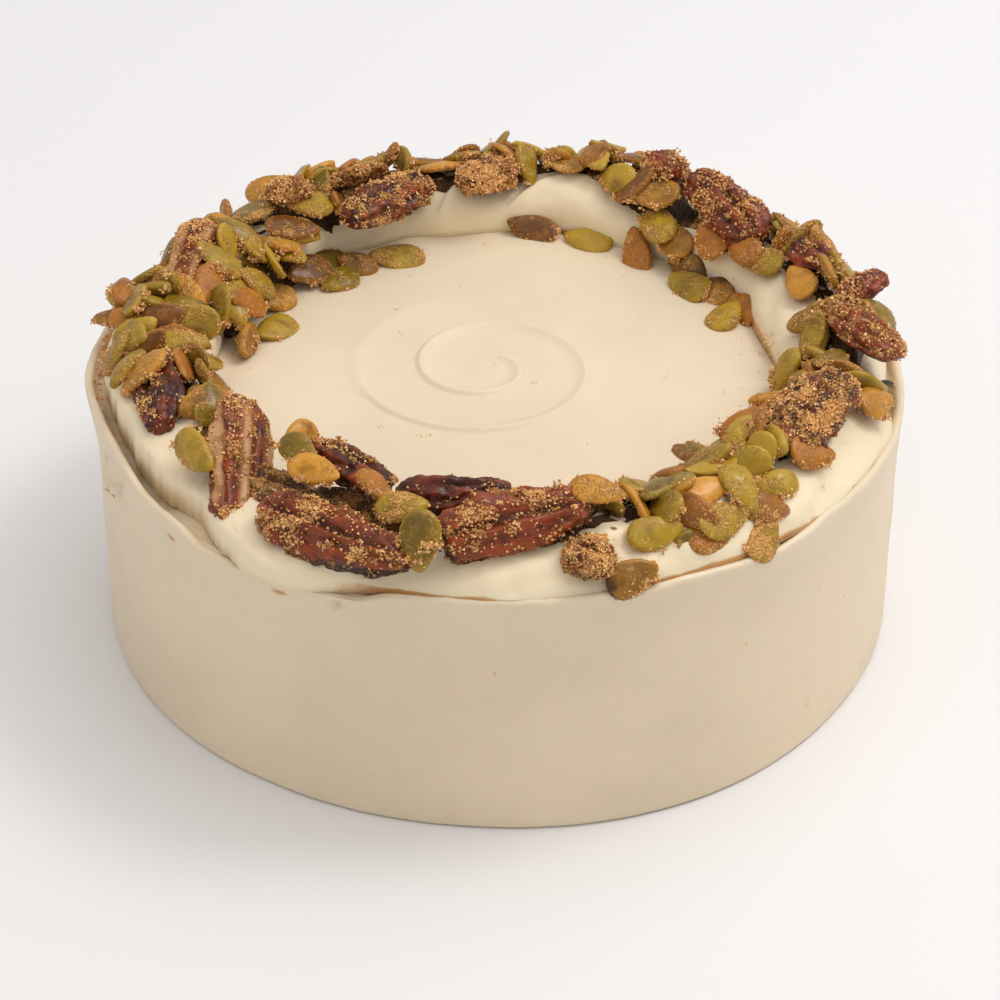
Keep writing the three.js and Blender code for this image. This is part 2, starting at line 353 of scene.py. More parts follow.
class Value:
    """What a socket gives. Sums on one that gives a number add Math nodes."""

    def __init__(self, finish, socket):
        self.finish = finish
        self.socket = socket

    def combine(self, operation, *values):
        return self.finish.node("ShaderNodeMath", {"operation": operation}, *values)

    def __add__(self, other):
        return self.combine("ADD", self, other)

    def __sub__(self, other):
        return self.combine("SUBTRACT", self, other)

    def __mul__(self, other):
        return self.combine("MULTIPLY", self, other)

    def __rsub__(self, other):
        return self.combine("SUBTRACT", other, self)

    __radd__ = __add__
    __rmul__ = __mul__

    def clamped(self, low, high):
        """0 at low, 1 at high, and smooth between them."""
        settings = {"interpolation_type": "SMOOTHSTEP"}
        return self.finish.node("ShaderNodeMapRange", settings, self, low, high)


class Finish:
    """A material under construction: a Principled shader whose sockets are set or linked by name."""

    def __init__(self, name, **constants):
        self.material = bpy.data.materials.new(name)
        self.material.use_nodes = True
        self.tree = self.material.node_tree
        self.shader = self.tree.nodes["Principled BSDF"]
        for socket, value in constants.items():
            self.shader.inputs[socket.replace("_", " ")].default_value = value
        self.place = self.node("ShaderNodeTexCoord", {}, output="Object")

    def node(self, kind, settings, *values, output=0, **named):
        """Adds a node, makes its settings, fills its sockets in order or by name, and gives an output."""
        made = self.tree.nodes.new(kind)
        for setting, value in settings.items():
            setattr(made, setting, value)
        filled = [(made.inputs[i], value) for i, value in enumerate(values)]
        filled += [(made.inputs[key.replace("_", " ")], value) for key, value in named.items()]
        for socket, value in filled:
            self.fill(socket, value)
        return Value(self, made.outputs[output])

    def fill(self, socket, value):
        if isinstance(value, Value):
            self.tree.links.new(value.socket, socket)
        elif value is not None:
            socket.default_value = value

    def mark(self, name):
        """The float that the mesh holds under this name."""
        return self.node("ShaderNodeAttribute", {"attribute_name": name}, output="Fac")

    def noise(self, scale, detail=2.0, roughness=0.5, place=None):
        """Cloudy noise from 0 to 1."""
        named = {"Vector": place or self.place, "Scale": scale, "Detail": detail, "Roughness": roughness}
        return self.node("ShaderNodeTexNoise", {}, output="Fac", **named)

    def cells(self, scale, output="Distance"):
        """The distance from the middle of the nearest of many scattered cells, or that cell's colour."""
        return self.node("ShaderNodeTexVoronoi", {}, output=output, Vector=self.place, Scale=scale)

    def stretched(self, x, y, z):
        """The place on the object with each axis scaled."""
        return self.node("ShaderNodeVectorMath", {"operation": "MULTIPLY"}, self.place, (x, y, z))

    def blend(self, a, b, share):
        """Colour a turning into colour b."""
        skipped = [None] * 5
        settings = {"data_type": "RGBA"}
        return self.node("ShaderNodeMix", settings, share, *skipped, solid(a), solid(b), output=2)

    def use(self, colour, roughness=None, coat=None, height=None, distance=0.0002, strength=1.0):
        """Links what changes over the surface, and gives the material."""
        self.fill(self.shader.inputs["Base Color"], colour)
        self.fill(self.shader.inputs["Roughness"], roughness)
        self.fill(self.shader.inputs["Coat Weight"], coat)
        if height is not None:
            named = {"Height": height, "Distance": distance, "Strength": strength}
            normal = self.node("ShaderNodeBump", {}, output="Normal", **named)
            self.fill(self.shader.inputs["Normal"], normal)
        return self.material


def solid(value):
    """A plain colour with its alpha, or a linked one as it is."""
    return (*value, 1.0) if isinstance(value, tuple) else value


def shade(value, factor):
    """A colour made lighter or darker."""
    return tuple(min(1.0, channel * factor) for channel in value)


def mixed(a, b, share):
    """A colour part of the way from a to b."""
    return tuple(mix(x, y, share) for x, y in zip(a, b))


# Linear colours of the smallest things.
SPICE = (0.68, 0.33, 0.09)
# Pale sugar for the brightest grains: partly real pale sugar, partly painted glints.
PALE_SUGAR_AND_GLINT = (0.95, 0.62, 0.30)
PALE_CRUMB = (0.96, 0.74, 0.46)
ORANGE_CRUMB = (0.80, 0.30, 0.05)


def frosting_finish(name, base, syrup):
    """Satin frosting with syrup stains and a little painted warm shade, fine pits, scrape marks and a few
    spice specks.
    """
    finish = Finish(
        name,
        Subsurface_Weight=0.25,
        Subsurface_Radius=(1.0, 0.55, 0.28),
        Subsurface_Scale=0.004,
        Specular_IOR_Level=0.4,
    )
    cloud = finish.noise(18, 3, 0.55)
    mottle = finish.noise(240, 2, 0.6)
    body = finish.blend(shade(base, 0.955), shade(base, 1.03), cloud.clamped(0.35, 0.65))
    body = finish.blend(body, shade(base, 1.06), mottle.clamped(0.52, 0.75) * 0.25)
    stain = finish.mark("stain")
    edge = (stain + (finish.noise(420, 3, 0.6) - 0.5) * 0.45).clamped(0.28, 0.75)
    # The syrup colour also lays painted warm shade in the trough on the left.
    body = finish.blend(body, syrup, edge * 0.85)
    pick = finish.node("ShaderNodeSeparateColor", {}, finish.cells(115, output="Color"))
    speck = (1 - finish.cells(115).clamped(0.025, 0.07)) * pick.clamped(0.70, 0.72)
    body = finish.blend(body, SPICE, speck * 0.6)
    scrape = finish.noise(1, 4, 0.6, finish.stretched(60, 60, 900))
    fine = finish.noise(900, 3, 0.6)
    pits = finish.cells(330).clamped(0.05, 0.2)
    height = scrape * 0.30 + fine * 0.30 + pits * 0.35 + mottle * 0.35
    wet = finish.mark("wet")
    height = height + wet * finish.noise(650, 2, 0.5) * 1.6
    gloss = 0.50 - edge * 0.25 - wet * 0.24 + (fine - 0.5) * 0.12
    return finish.use(body, gloss, None, height, distance=0.00016, strength=0.55)


def sugar_crust(finish, colours, patch):
    """Sugar stuck to a skin in patches: its share of the surface, its colour and its height."""
    grain = finish.cells(1500)
    fine = finish.noise(1900, 3, 0.65)
    here = (patch + (fine - 0.5) * 0.5 + (0.4 - grain) * 0.25).clamped(0.42, 0.60)
    dull = mixed(colours["sugar"], colours["toasted"], 0.5)
    sugar = finish.blend(dull, shade(colours["sugar"], 1.2), fine.clamped(0.46, 0.66))
    return here, sugar, here * (1.2 - grain)


def painted_gap_shade(finish, colours, skin, most=0.93):
    """A skin colour darkened where it lies deep between its neighbours: painted shade in the gaps, in a dark
    tone of the core colour.
    """
    return finish.blend(skin, shade(colours["core"], 0.35), finish.mark("deep") * most)


def pecan_finish(colours):
    """Red-brown candied skin: dark in the folds, partly its own colour and partly painted shade, pale where
    the flesh shows, dusted with sugar, with painted shade between the toppings.
    """
    finish = Finish("candied_pecan", Specular_IOR_Level=0.25, Coat_Roughness=0.10)
    fold, flesh, tone, sugared = (finish.mark(m) for m in ("fold", "flesh", "tone", "sugared"))
    streak = finish.noise(230, 3, 0.6)
    skin = finish.blend(colours["dark_skin"], colours["skin"], (streak + tone * 0.35).clamped(0.42, 0.80))
    skin = finish.blend(skin, shade(colours["skin"], 1.7), finish.noise(130, 2).clamped(0.56, 0.70) * 0.7)
    # Darker in the folds: partly the skin's own darker colour, partly painted shade in the creases.
    skin = finish.blend(skin, shade(colours["dark_skin"], 0.5), fold * 0.85)
    skin = finish.blend(skin, colours["flesh"], flesh)
    patch = finish.noise(160, 4, 0.7) * 1.4 + sugared * 0.45 - 0.50
    here, sugar, lift = sugar_crust(finish, colours, patch)
    # Painted shade darkens the skin where it lies deep between its neighbours.
    skin = painted_gap_shade(finish, colours, finish.blend(skin, sugar, here * 0.85))
    relief = streak * 0.5 + finish.noise(700, 3) * 0.45 + lift * 1.1
    return finish.use(skin, 0.30 + here * 0.4, 0.17 - here * 0.17, relief, distance=0.0006, strength=0.9)


def seed_finish(name, base, colours):
    """Candied pumpkin seed: mottled skin with a paler rim, glazed, crusted with sugar in patches, and
    darkened with painted shade where it lies deep between its neighbours.
    """
    finish = Finish(name, Specular_IOR_Level=0.25, Coat_Roughness=0.12)
    rim, tone, sugared = (finish.mark(m) for m in ("rim", "tone", "sugared"))
    mottle = finish.noise(190, 3, 0.6)
    dark, pale = shade(base, 0.50), shade(base, 1.7)
    browned = finish.noise(110, 3, 0.6).clamped(0.54, 0.74)
    skin = finish.blend(dark, pale, (mottle * 0.9 + tone * 0.6).clamped(0.35, 1.05))
    skin = finish.blend(skin, shade(colours["toasted"], 0.6), browned * 0.7)
    skin = finish.blend(skin, pale, rim.clamped(0.80, 0.97) * 0.45)
    frosted = finish.noise(1100, 2, 0.6).clamped(0.48, 0.66) * finish.noise(260, 2).clamped(0.40, 0.62)
    skin = finish.blend(skin, colours["sugar"], frosted * 0.35)
    patch = finish.noise(160, 4, 0.7) * 1.4 + sugared * 0.45 - 0.51
    here, sugar, lift = sugar_crust(finish, colours, patch)
    # Painted shade darkens the skin where it lies deep between its neighbours.
    skin = painted_gap_shade(finish, colours, finish.blend(skin, sugar, here * 0.75))
    relief = mottle * 0.3 + frosted * 0.25 + lift * 1.1
    return finish.use(skin, 0.30 + here * 0.35, 0.14 - here * 0.14, relief, distance=0.0005, strength=0.9)


def sugar_finish(name, base, darkest):
    """Grains of brown sugar, from a darker tone of the base to pale, the palest with painted glints, and with
    painted shade where they lie deep.
    """
    finish = Finish(name, Roughness=0.35, Specular_IOR_Level=0.4)
    tone = finish.mark("tone")
    body = finish.blend(shade(base, darkest), shade(base, 1.25), tone)
    # The palest grains get painted glints, partly real pale sugar.
    body = finish.blend(body, PALE_SUGAR_AND_GLINT, tone.clamped(0.7, 1.0) * 0.8)
    # Painted shade darkens grains that lie deep between the toppings.
    return finish.use(finish.blend(body, shade(base, 0.22), finish.mark("deep") * 0.6))


def core_finish(colours):
    """The crumbly sugar under the seeds, dark partly as its own colour and partly as painted shade in the
    gaps, paler where grains lie thick.
    """
    finish = Finish("dark_sugar", Specular_IOR_Level=0.3)
    here, sugar, lift = sugar_crust(finish, colours, finish.noise(170, 4, 0.7) * 1.4 - 0.10)
    dark, pale = shade(colours["core"], 0.5), shade(colours["core"], 1.8)
    open_bed = finish.mark("bed")
    body = finish.blend(dark, pale, finish.noise(300, 3, 0.6))
    body = finish.blend(body, sugar, here * (0.7 + open_bed * 0.2))
    # Painted shade in the gaps, weaker where the bed lies open at the front.
    body = painted_gap_shade(finish, colours, body, 0.9 - open_bed * 0.6)
    height = finish.noise(500, 4, 0.65) + lift
    return finish.use(body, 0.45, None, height, distance=0.0008, strength=0.9)


# ---------------------------------------------------------------- frosting

# Stains of syrup on the side, under the lip at the left and the front left: angle, height and width.
STAINS = ((203, 54, 1.8), (222, 61.5, 1.2), (241, 61, 1.4))
NICK_ANGLE = 249
NICK_HEIGHT = 61.5
SWIRL_CENTRE = (-3, 4)


def cake_profile(sizes):
    """Radius and height of the cake's outline, from the middle of the base to the middle of the top."""
    radius, lip, top = sizes.radius, sizes.lip, sizes.top
    heights = [*np.linspace(1.8, lip - 6, 46), *np.linspace(lip - 5, lip - 1.6, 7)]
    across = [*np.linspace(radius - 5, 80, 7), *np.linspace(78.5, 35, 27), *np.linspace(34.3, 1.5, 54)]
    half_lip = 1.15
    outline = [(2, 0), (60, 0), (radius - 1.0, 0), (radius - 0.45, 0.12), (radius - 0.15, 0.4), (radius, 0.9)]
    outline += [(radius, height) for height in heights]
    for bend in np.linspace(0, 180, 11)[1:] * DEGREE:
        out, up = half_lip * math.cos(bend), half_lip * math.sin(bend)
        outline.append((radius - half_lip + out, lip - half_lip + up))
    outline += [(radius - 2.5, top + 1.0), (radius - 2.9, top + 0.3), (radius - 3.6, top)]
    outline += [(out, top) for out in across]
    return np.array(outline)


def swirl(places, sizes):
    """Height of the palette knife's spiral: a sharp ridge on the outside of each shallow turn."""
    beside, beyond = places[..., 0] - SWIRL_CENTRE[0], places[..., 1] - SWIRL_CENTRE[1]
    radius = np.hypot(beside, beyond)
    turns = radius / sizes.swirl_pitch + np.arctan2(beyond, beside) / DEGREE / 360 + 0.5
    part = turns % 1.0
    ridge = bump(part, 1, 0.12) + bump(part, 0, 0.028) - 0.4 * np.sin(np.pi * part)
    return sizes.swirl_depth * ridge * (rise(radius, 2, 7) * (1 - rise(radius, 30, 38)))


def frost_cake(context):
    """The side, the lip and the swirled top, as one surface from the middle of the base to the top's."""
    sizes, colours = sizes_in_mm(context), colours_of(context)
    outline = cake_profile(sizes)
    rows, columns = len(outline), 480
    angle, radius = np.meshgrid(ring_angles(columns), outline[:, 0])
    height = np.repeat(outline[:, 1:], columns, axis=1)
    past_crest = np.arange(rows)[:, None] - np.argmax(outline[:, 1])
    side = radius > sizes.radius - 4
    # The side is faintly uneven, dented low down and torn below the lip on the left, with one small nick
    # under the lip at the front left.
    offset = side_offset(angle, height / sizes.lip)
    places = polar(radius, angle, height)
    ripple = rough(polar(radius, angle, height * 2.2), 26, 3) * 0.22
    ripple += rough(places, 7, 8) * 0.07
    smear = swell(angle, 203.5, 7) * rise(height, 50, 56) * (1 - rise(height, 61, 66))
    tear = smear * (1.1 + 2.0 * rough(places, 2.4, 30, 3))
    nick = bump(angle, NICK_ANGLE, 0.9) * bump(height, NICK_HEIGHT, 0.9)
    dents = np.maximum(rough(places, 3.2, 40) - 0.75, 0) * 1.6 * (1 - rise(height, 14, 40))
    # The lip is a little beaded, and pressed down where the rope runs over it.
    beads = rough(polar(radius, angle, 0), 5, 21) * 0.35 * rise(height, sizes.lip - 4, sizes.lip - 0.5)
    pressed = 2.6 * over_lip(angle) * rise(height, sizes.top, sizes.lip)
    relief = (ripple + tear - 2.0 * nick - dents) * (past_crest <= 4)
    radius = np.where(side, radius + offset + relief, radius)
    height = np.where(side, height - pressed + beads, height)
    # Inside the lip on the left there is a trough between the lip and the rope.
    trough = rise(swell(angle, 203, 24), 0.05, 0.5)
    shelf = (past_crest > 4) & (radius > 90)
    height = np.where(shelf, height - 2.0 * trough, height)
    # The top inside the rope has the knife's spiral and is gently uneven.
    places = polar(radius, angle, 0)
    uneven = (swirl(places, sizes) + rough(places, 30, 50) * 0.25) * (1 - rise(radius, 66, 74))
    height = np.where(past_crest > 8, height + uneven, height)
    # Syrup lies in the crease inside the lip, thick at the front and thin elsewhere, and in a few stains. In
    # the trough on the left the syrup colour is a painted warm shade.
    crease = (past_crest > 3) * bump(radius - sizes.radius + 3.2 - offset, 0, 1.1)
    stain = crease * syrup_runs(angle, 0.35, 0.2) + 0.5 * nick + 0.30 * trough * shelf
    for centre, level, wide in STAINS:
        stain += 0.8 * swell(angle, centre, 2 * wide) * bump(height, level, wide) * (past_crest <= 0)
    wet = bump(height, sizes.lip, 1.6) * swell(angle, 285, 80) * (radius > 95)
    marks = {"stain": np.clip(stain, 0, 1), "wet": wet}
    ends = [(0, 0, 0), (0, 0, height[-1].mean())]
    points = np.vstack([polar(radius, angle, height).reshape(-1, 3), ends])
    finish = frosting_finish("cream_frosting", colours["frosting"], colours["syrup"])
    piece = make_piece(CAKE, points, capped_faces(rows, columns), finish, marks)
    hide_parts("cake")


def rope_surface(angle, around, sizes):
    """Radius and height on the rope, around being the angle in its section: 0 outside, 90 on top."""
    inner, outer, top = rope_at(angle, sizes)
    over, flush = over_lip(angle), meets_lip(angle)
    ribbon = rise(swell(angle, 208, 50), 0.1, 0.6)
    outer = outer + 3.0 * flush + 1.2 * swell(angle, 319, 12)
    across, upward = np.cos(around * DEGREE), np.sin(around * DEGREE)
    middle, half = (inner + outer) / 2, (outer - inner) / 2
    # It stands on the top, climbs over the lip at the front left, and meets it from the front to the right.
    foot = sizes.top - 0.4 + (sizes.lip - 2.6 - sizes.top + 0.6) * over
    foot = mix(foot, sizes.lip - 1.3, flush * (1 - over) * rise(across, 0.3, 0.95))
    fullness = mix(0.62, 0.20, ribbon * rise(across, -0.2, 0.6))
    fullness = mix(fullness, 1.15, flush * (1 - over) * rise(across, -0.2, 0.6))
    # Strokes overlap like scales: each one climbs slowly and ends in a fold that leans inwards.
    lean = 0.55 * across + 0.25 * wave(angle, 7, 40)
    phase = (angle / 360 * 15 + lean) % 1.0
    stroke = phase**1.6 - rise(phase, 0.90, 1.0) * phase**1.6 - 0.38
    strength = mix(1.7, 0.5, ribbon) * rise(upward, 0.05, 0.6)
    # At the right back one long fold stands beside a groove.
    fold = bump(across + 0.45 + 0.2 * wave(angle, 9, 0), 0, 0.12) * 0.9 * swell(angle, 35, 45)
    lift = strength * stroke + fold - 0.8 * bump(across, -0.2, 0.1) * swell(angle, 35, 45)
    radius = middle + across * half
    height = foot + (top - foot) * np.maximum(upward, 0) ** fullness + lift
    # The ribbon's outer edge on the left is jagged, and the whole rope is softly uneven.
    plan = polar(radius, angle, 0)
    jag = rough(plan, 3.0, 60) * 0.75 + rough(plan, 1.3, 61) * 0.45
    radius = radius + jag * ribbon * rise(across, 0.5, 0.95)
    places = polar(radius, angle, height)
    soft = rough(places, 9, 65) * mix(0.6, 1.0, flush) * rise(upward, 0.0, 0.5)
    soft += rough(places, 2.2, 66, 3) * 0.20 * rise(upward, 0.1, 0.5)
    return radius, np.where(upward > 1e-6, height + soft, foot)


def lay_rope(context):
    """The rope of frosting, paler partly as painted light, with syrup along its feet and in the seams at the
    right.
    """
    sizes, colours = sizes_in_mm(context), colours_of(context)
    columns, top_rows, under_rows = 760, 46, 10
    around = [*np.linspace(0, 180, top_rows), *np.linspace(180, 360, under_rows + 2)[1:-1]]
    angle, around = np.meshgrid(ring_angles(columns), around)
    radius, height = rope_surface(angle, around, sizes)
    places = polar(radius, angle, height)
    flush = meets_lip(angle)
    foot = bump(around, 8 * flush, mix(12, 6, flush)) * (around < 90)
    inner_foot = bump(around, 180, 10) * (0.8 * swell(angle, 20, 30) + 0.25)
    seams = rise(rough(places, 6, 67), 0.35, 0.8) * swell(angle, 325, 22)
    seams = 0.5 * seams * rise(np.cos(around * DEGREE), 0.1, 0.6)
    stain = np.clip(foot * syrup_runs(angle, 0.45, 0.15) + inner_foot + seams, 0, 1)
    marks = {"stain": stain, "wet": 0.3 * rise(np.sin(around * DEGREE), 0.2, 0.8)}
    finish = frosting_finish("pale_frosting", colours["rope"], colours["syrup"])
    faces = [face[::-1] for face in ring_faces(top_rows + under_rows, columns)]
    piece = make_piece(ROPE, places, faces, finish, marks)
    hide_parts("frosting_rope")


# ---------------------------------------------------------------- pecans


def nut_frame(node):
    """How a CAD nut lies: its middle, its axes as columns, and how far it reaches both ways along each.
    The first axis runs to the narrower tip, and the third towards the domed side."""
    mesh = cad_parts[node].data
    points = np.array([v.co for v in mesh.vertices], float) / MM
    mesh.calc_loop_triangles()
    corners = points[np.array([t.vertices for t in mesh.loop_triangles])]
    weights = np.linalg.norm(np.cross(corners[:, 1] - corners[:, 0], corners[:, 2] - corners[:, 0]), axis=1)
    centres = corners.mean(1)
    middle = np.average(centres, axis=0, weights=weights)
    spread = np.cov((centres - middle).T, aweights=weights)
    axes = np.linalg.eigh(spread)[1][:, ::-1]
    local = (centres - middle) @ axes
    reach = np.abs(local).max(0)

    def width(part, across):
        return np.average(np.abs(local[part][:, across]), weights=weights[part])

    ahead, behind = local[:, 0] > 0.35 * reach[0], local[:, 0] < -0.35 * reach[0]
    if width(ahead, 1) > width(behind, 1):
        axes[:, 0] *= -1
    ends = (points - middle) @ axes
    if ends[:, 2].max() < -ends[:, 2].min():
        axes[:, 2] *= -1
    axes[:, 1] = np.cross(axes[:, 2], axes[:, 0])
    ends = (points - middle) @ axes
    return middle, axes, ends.min(0), ends.max(0)


# How sugared each pecan is, in eighths: 0 is clean and glossy, 8 is covered.
SUGAR_EIGHTHS = (2, 3, 3, 1, 0, 3, 6, 5, 4, 2, 1, 2, 4, 6, 4, 5, 6, 4)
PECAN_SUGAR = {name: eighths / 8 for name, eighths in zip(PECANS, SUGAR_EIGHTHS)}


def pecan_shape(low, high, seed, upturned):
    """Points of half a pecan between these ends, with how deep in a fold and how fleshy each is.
    An upturned one shows its flat side, with a pale rim where the shell broke away."""
    columns, rows = 72, 64
    along, around = np.linspace(0, math.pi, rows + 2)[1:-1], np.arange(columns) * 2 * math.pi / columns
    along, around = np.meshgrid(along, around, indexing="ij")
    x = -np.cos(along)
    girth = np.sin(along) ** 0.53
    y, z = girth * np.cos(around), girth * np.sin(around)
    dome = z > 0
    place = np.stack([x * 1.6, y, z], -1)
    wander = noise(place, 0.9, seed)
    wrinkle = rough(place * (1, 1.2, 1.2), 0.42, seed + 5, 3)
    pucker = rough(place * (1.3, 1, 1), 0.20, seed + 9)
    ridges = np.sin(7.5 * np.arctan2(np.abs(z), y) + 2.4 * wander + 1.5 * x)
    crease = bump(wrinkle, 0, 0.13)
    groove = bump(y + 0.06 * wander, 0, 0.13) * (1 - np.abs(x) ** 5)
    hollow = bump(np.abs(y), 0.42, 0.20) * (1 - np.abs(x) ** 3)
    swelling = 1 + 0.075 * ridges + 0.14 * wrinkle - 0.08 * crease + 0.045 * pucker
    taper = 1 - 0.14 * x
    bend = 0.16 * math.sin(seed) * (x**2 - 0.35)
    domed = (z * 1.05) * swelling - 0.30 * groove * girth
    flat = 0.80 * z * (1 + 0.10 * wrinkle) + 0.42 * hollow * girth
    half, centre = (high - low) / 2, (high + low) / 2
    lengthwise = centre[0] + x * (1 + 0.03 * wrinkle) * half[0]
    sideways = centre[1] + (y * taper * swelling + bend) * half[1]
    upward = np.where(dome, domed * high[2] * 1.15, -flat * low[2] * 1.3)
    tips = [(centre[0] - half[0], centre[1], 0), (centre[0] + half[0], centre[1], 0)]
    points = np.vstack([np.stack([lengthwise, sideways, upward], -1).reshape(-1, 3), tips])
    fold = np.clip(0.8 * groove * dome + 0.5 * crease + 0.35 * (ridges < -0.6), 0, 1)
    rim = 0.9 * upturned * rise(np.abs(y), 0.72, 0.85)
    flesh = (~dome) * np.clip(1.3 * upturned * bump(y, 0, 0.14) + rim, 0, 1)
    flesh = flesh * rise(-z, 0.02, 0.1) * (1 - rise(np.abs(x), 0.75, 0.95))
    return points, capped_faces(rows, columns), fold, flesh


def place_pecans(context):
    """A candied pecan where the part has each nut, lying as the nut lies."""
    finish = pecan_finish(colours_of(context))
    draw = np.random.default_rng(sizes_in_mm(context).chance)
    for index, (node, name) in enumerate(zip(PECAN_NODES, PECANS)):
        middle, axes, low, high = nut_frame(node)
        points, faces, fold, flesh = pecan_shape(low, high, 100 + 7 * index, axes[2, 2] < 0)
        tone, sugared = np.full(len(points), draw.random()), np.full(len(points), PECAN_SUGAR[name])
        marks = {"fold": fold, "flesh": flesh, "tone": tone, "sugared": sugared}
        piece = make_piece(name, middle + points @ axes.T, faces, finish, marks)
        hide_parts(node)


# ---------------------------------------------------------------- seeds

SEED_COLUMNS = 20
SEED_RINGS = np.array([0.30, 0.58, 0.78, 0.90, 0.97, 1.0, 0.97, 0.90, 0.72, 0.40])[:, None]
SEED_EDGE = 5  # The ring that is the seed's outline; those before it lie on the upper face.


def seed_shape(length, width, thickness, draw):
    """Points of one pumpkin seed lying flat, its pointed end at +x, and how near its rim each is."""
    around = np.arange(SEED_COLUMNS) * 2 * math.pi / SEED_COLUMNS
    out = SEED_RINGS
    face = np.sign(SEED_EDGE - np.arange(len(out)))[:, None]
    tip = np.clip(np.cos(around), 0, 1) ** 6
    x = out * length / 2 * (np.cos(around) + 0.12 * tip)
    y = out * width / 2 * np.sin(around) * (1 - 0.22 * np.cos(around))
    z = face * thickness / 2 * ((1 - out**2.8) ** 0.55 + bump(out, 0.90, 0.05) * 0.10)
    bend, twist = draw.normal(0, 0.014), draw.normal(0, 0.03)
    z = z + bend * x**2 + twist * x * y / 4
    points = np.stack([x, y, z], -1)
    bumps = noise(points, 3.0, int(draw.integers(1000)))
    points[..., 2] += 0.32 * bumps * (out <= 0.93)
    points[..., :2] *= 1 + 0.07 * noise(points, 4.5, int(draw.integers(1000)))[..., None]
    points = np.vstack([points.reshape(-1, 3), [(0, 0, thickness / 2), (0, 0, -thickness / 2)]])
    return points, np.append(np.repeat(out, SEED_COLUMNS), [0, 0])


SEED_FACES = capped_faces(len(SEED_RINGS), SEED_COLUMNS)


# The seeds that show most, laid one by one in coarse steps: kind, angle and radius of the middle, how far
# the long axis turns from the ring's own direction, how far the face leans, the side it leans to, and
# the size. Their heights aren't given: each one comes to rest on what already lies there.
SHOWN_SEEDS = (
    # Right front, the thickest part of the heap.
    ("golden", 302.5, 89, 0, 30, "out", 1.0),
    ("green", 302.5, 96, 0, 40, "out", 1.1),
    ("green", 307.5, 92, 90, 30, "out", 1.05),
    ("green", 307.5, 101, -45, 45, "out", 1.05),
    ("green", 292.5, 93, 0, 40, "out", 1.1),
    ("green", 297.5, 97, 80, 60, "out", 0.95),
    ("toasted", 300, 97, 0, 30, "out", 0.95),
    ("golden", 292.5, 84, 75, 60, "on", 1.05),
    ("golden", 285, 87, 20, 25, "out", 1.05),
    ("golden", 287.5, 101, -30, 60, "out", 1.05),
    # Right.
    ("green", 330, 66, 20, 20, "in", 1.1),
    ("toasted", 340, 67, 30, 40, "in", 0.95),
    ("green", 335, 76, -15, 65, "in", 1.1),
    ("toasted", 345, 83, 60, 35, "out", 1.1),
    ("golden", 350, 79, 10, 30, "in", 0.85),
    ("golden", 2.5, 79, 80, 20, "in", 1.1),
    ("golden", 10, 77, 60, 30, "in", 1.05),
    ("golden", 12.5, 86, -30, 70, "out", 1.0),
    ("green", 347.5, 98, 0, 50, "out", 0.95),
    ("golden", 340, 97, 30, 40, "out", 1.1),
    ("toasted", 322.5, 93, 40, 40, "out", 1.05),
    ("toasted", 310, 97, 30, 40, "out", 1.05),
    # Right back.
    ("toasted", 25, 71, 0, 45, "in", 1.05),
    ("green", 25, 65, 60, 15, "in", 1.05),
    ("green", 40, 66, 0, 30, "in", 1.1),
    ("golden", 45, 71, 0, 60, "in", 1.1),
    ("golden", 15, 80, 0, 35, "in", 1.1),
    ("golden", 20, 77, 20, 40, "in", 1.05),
    ("green", 27.5, 78, -20, 35, "in", 1.05),
    ("toasted", 32.5, 76, 0, 40, "in", 1.1),
    ("golden", 35, 71, 60, 30, "in", 1.1),
    ("toasted", 40, 73, 30, 35, "in", 1.1),
    ("golden", 50, 73, 20, 35, "in", 1.05),
    ("green", 55, 74, 45, 20, "in", 1.15),
    ("golden", 57.5, 78, -20, 30, "in", 1.15),
    ("toasted", 57.5, 69, 70, 50, "in", 1.1),
    ("toasted", 65, 88, 0, 20, "out", 1.1),
    ("golden", 72.5, 77, 0, 20, "in", 1.15),
    ("toasted", 72.5, 88, 45, 20, "in", 0.85),
    ("golden", 77.5, 85, 0, 10, "in", 1.0),
    ("golden", 80, 88, 70, 60, "out", 0.95),
    # On the border at the back.
    ("green", 70, 72, 0, 20, "in", 1.1),
    ("toasted", 82.5, 73, 15, 45, "in", 1.05),
    # Left back.
    ("golden", 100, 84, 0, 20, "out", 1.2),
    ("green", 107.5, 86, 90, 80, "on", 0.95),
    ("green", 115, 64, 20, 20, "in", 1.2),
    ("golden", 125, 65, 45, 30, "in", 0.95),
    ("green", 132.5, 62, 0, 15, "in", 1.0),
    ("green", 130, 70, 30, 35, "in", 1.15),
    ("toasted", 137.5, 68, 10, 30, "in", 1.1),
    ("green", 130, 78, 45, 10, "in", 1.2),
    ("green", 140, 86, 0, 10, "out", 1.15),
    ("golden", 147.5, 82, 90, 40, "in", 1.25),
    ("golden", 150, 68, 30, 20, "in", 1.1),
    # Left.
    ("green", 160, 61, 20, 15, "in", 1.1),
    ("green", 160, 73, 45, 30, "in", 1.05),
    ("green", 162.5, 95, 0, 30, "out", 1.15),
    ("golden", 170, 65, 0, 75, "in", 1.05),
    ("golden", 175, 97, 90, 10, "out", 0.95),
    ("green", 177.5, 77, 80, 60, "on", 1.2),
    ("toasted", 185, 84, 60, 30, "on", 1.2),
    ("golden", 190, 71, 20, 50, "in", 1.1),
    ("green", 202.5, 77, 60, 30, "in", 1.15),
    ("golden", 207.5, 80, 80, 50, "on", 1.1),
    ("green", 220, 93, 15, 60, "out", 1.2),
    # Between the pecans at the front.
    ("golden", 232.5, 76, 80, 60, "on", 1.0),
    ("green", 235, 81, 10, 30, "out", 0.9),
    ("golden", 240, 85, 0, 20, "out", 1.15),
    ("toasted", 250, 82, 20, 25, "on", 0.9),
    ("green", 255, 86, -20, 30, "out", 1.0),
    ("green", 260, 100, 90, 65, "out", 1.15),
)
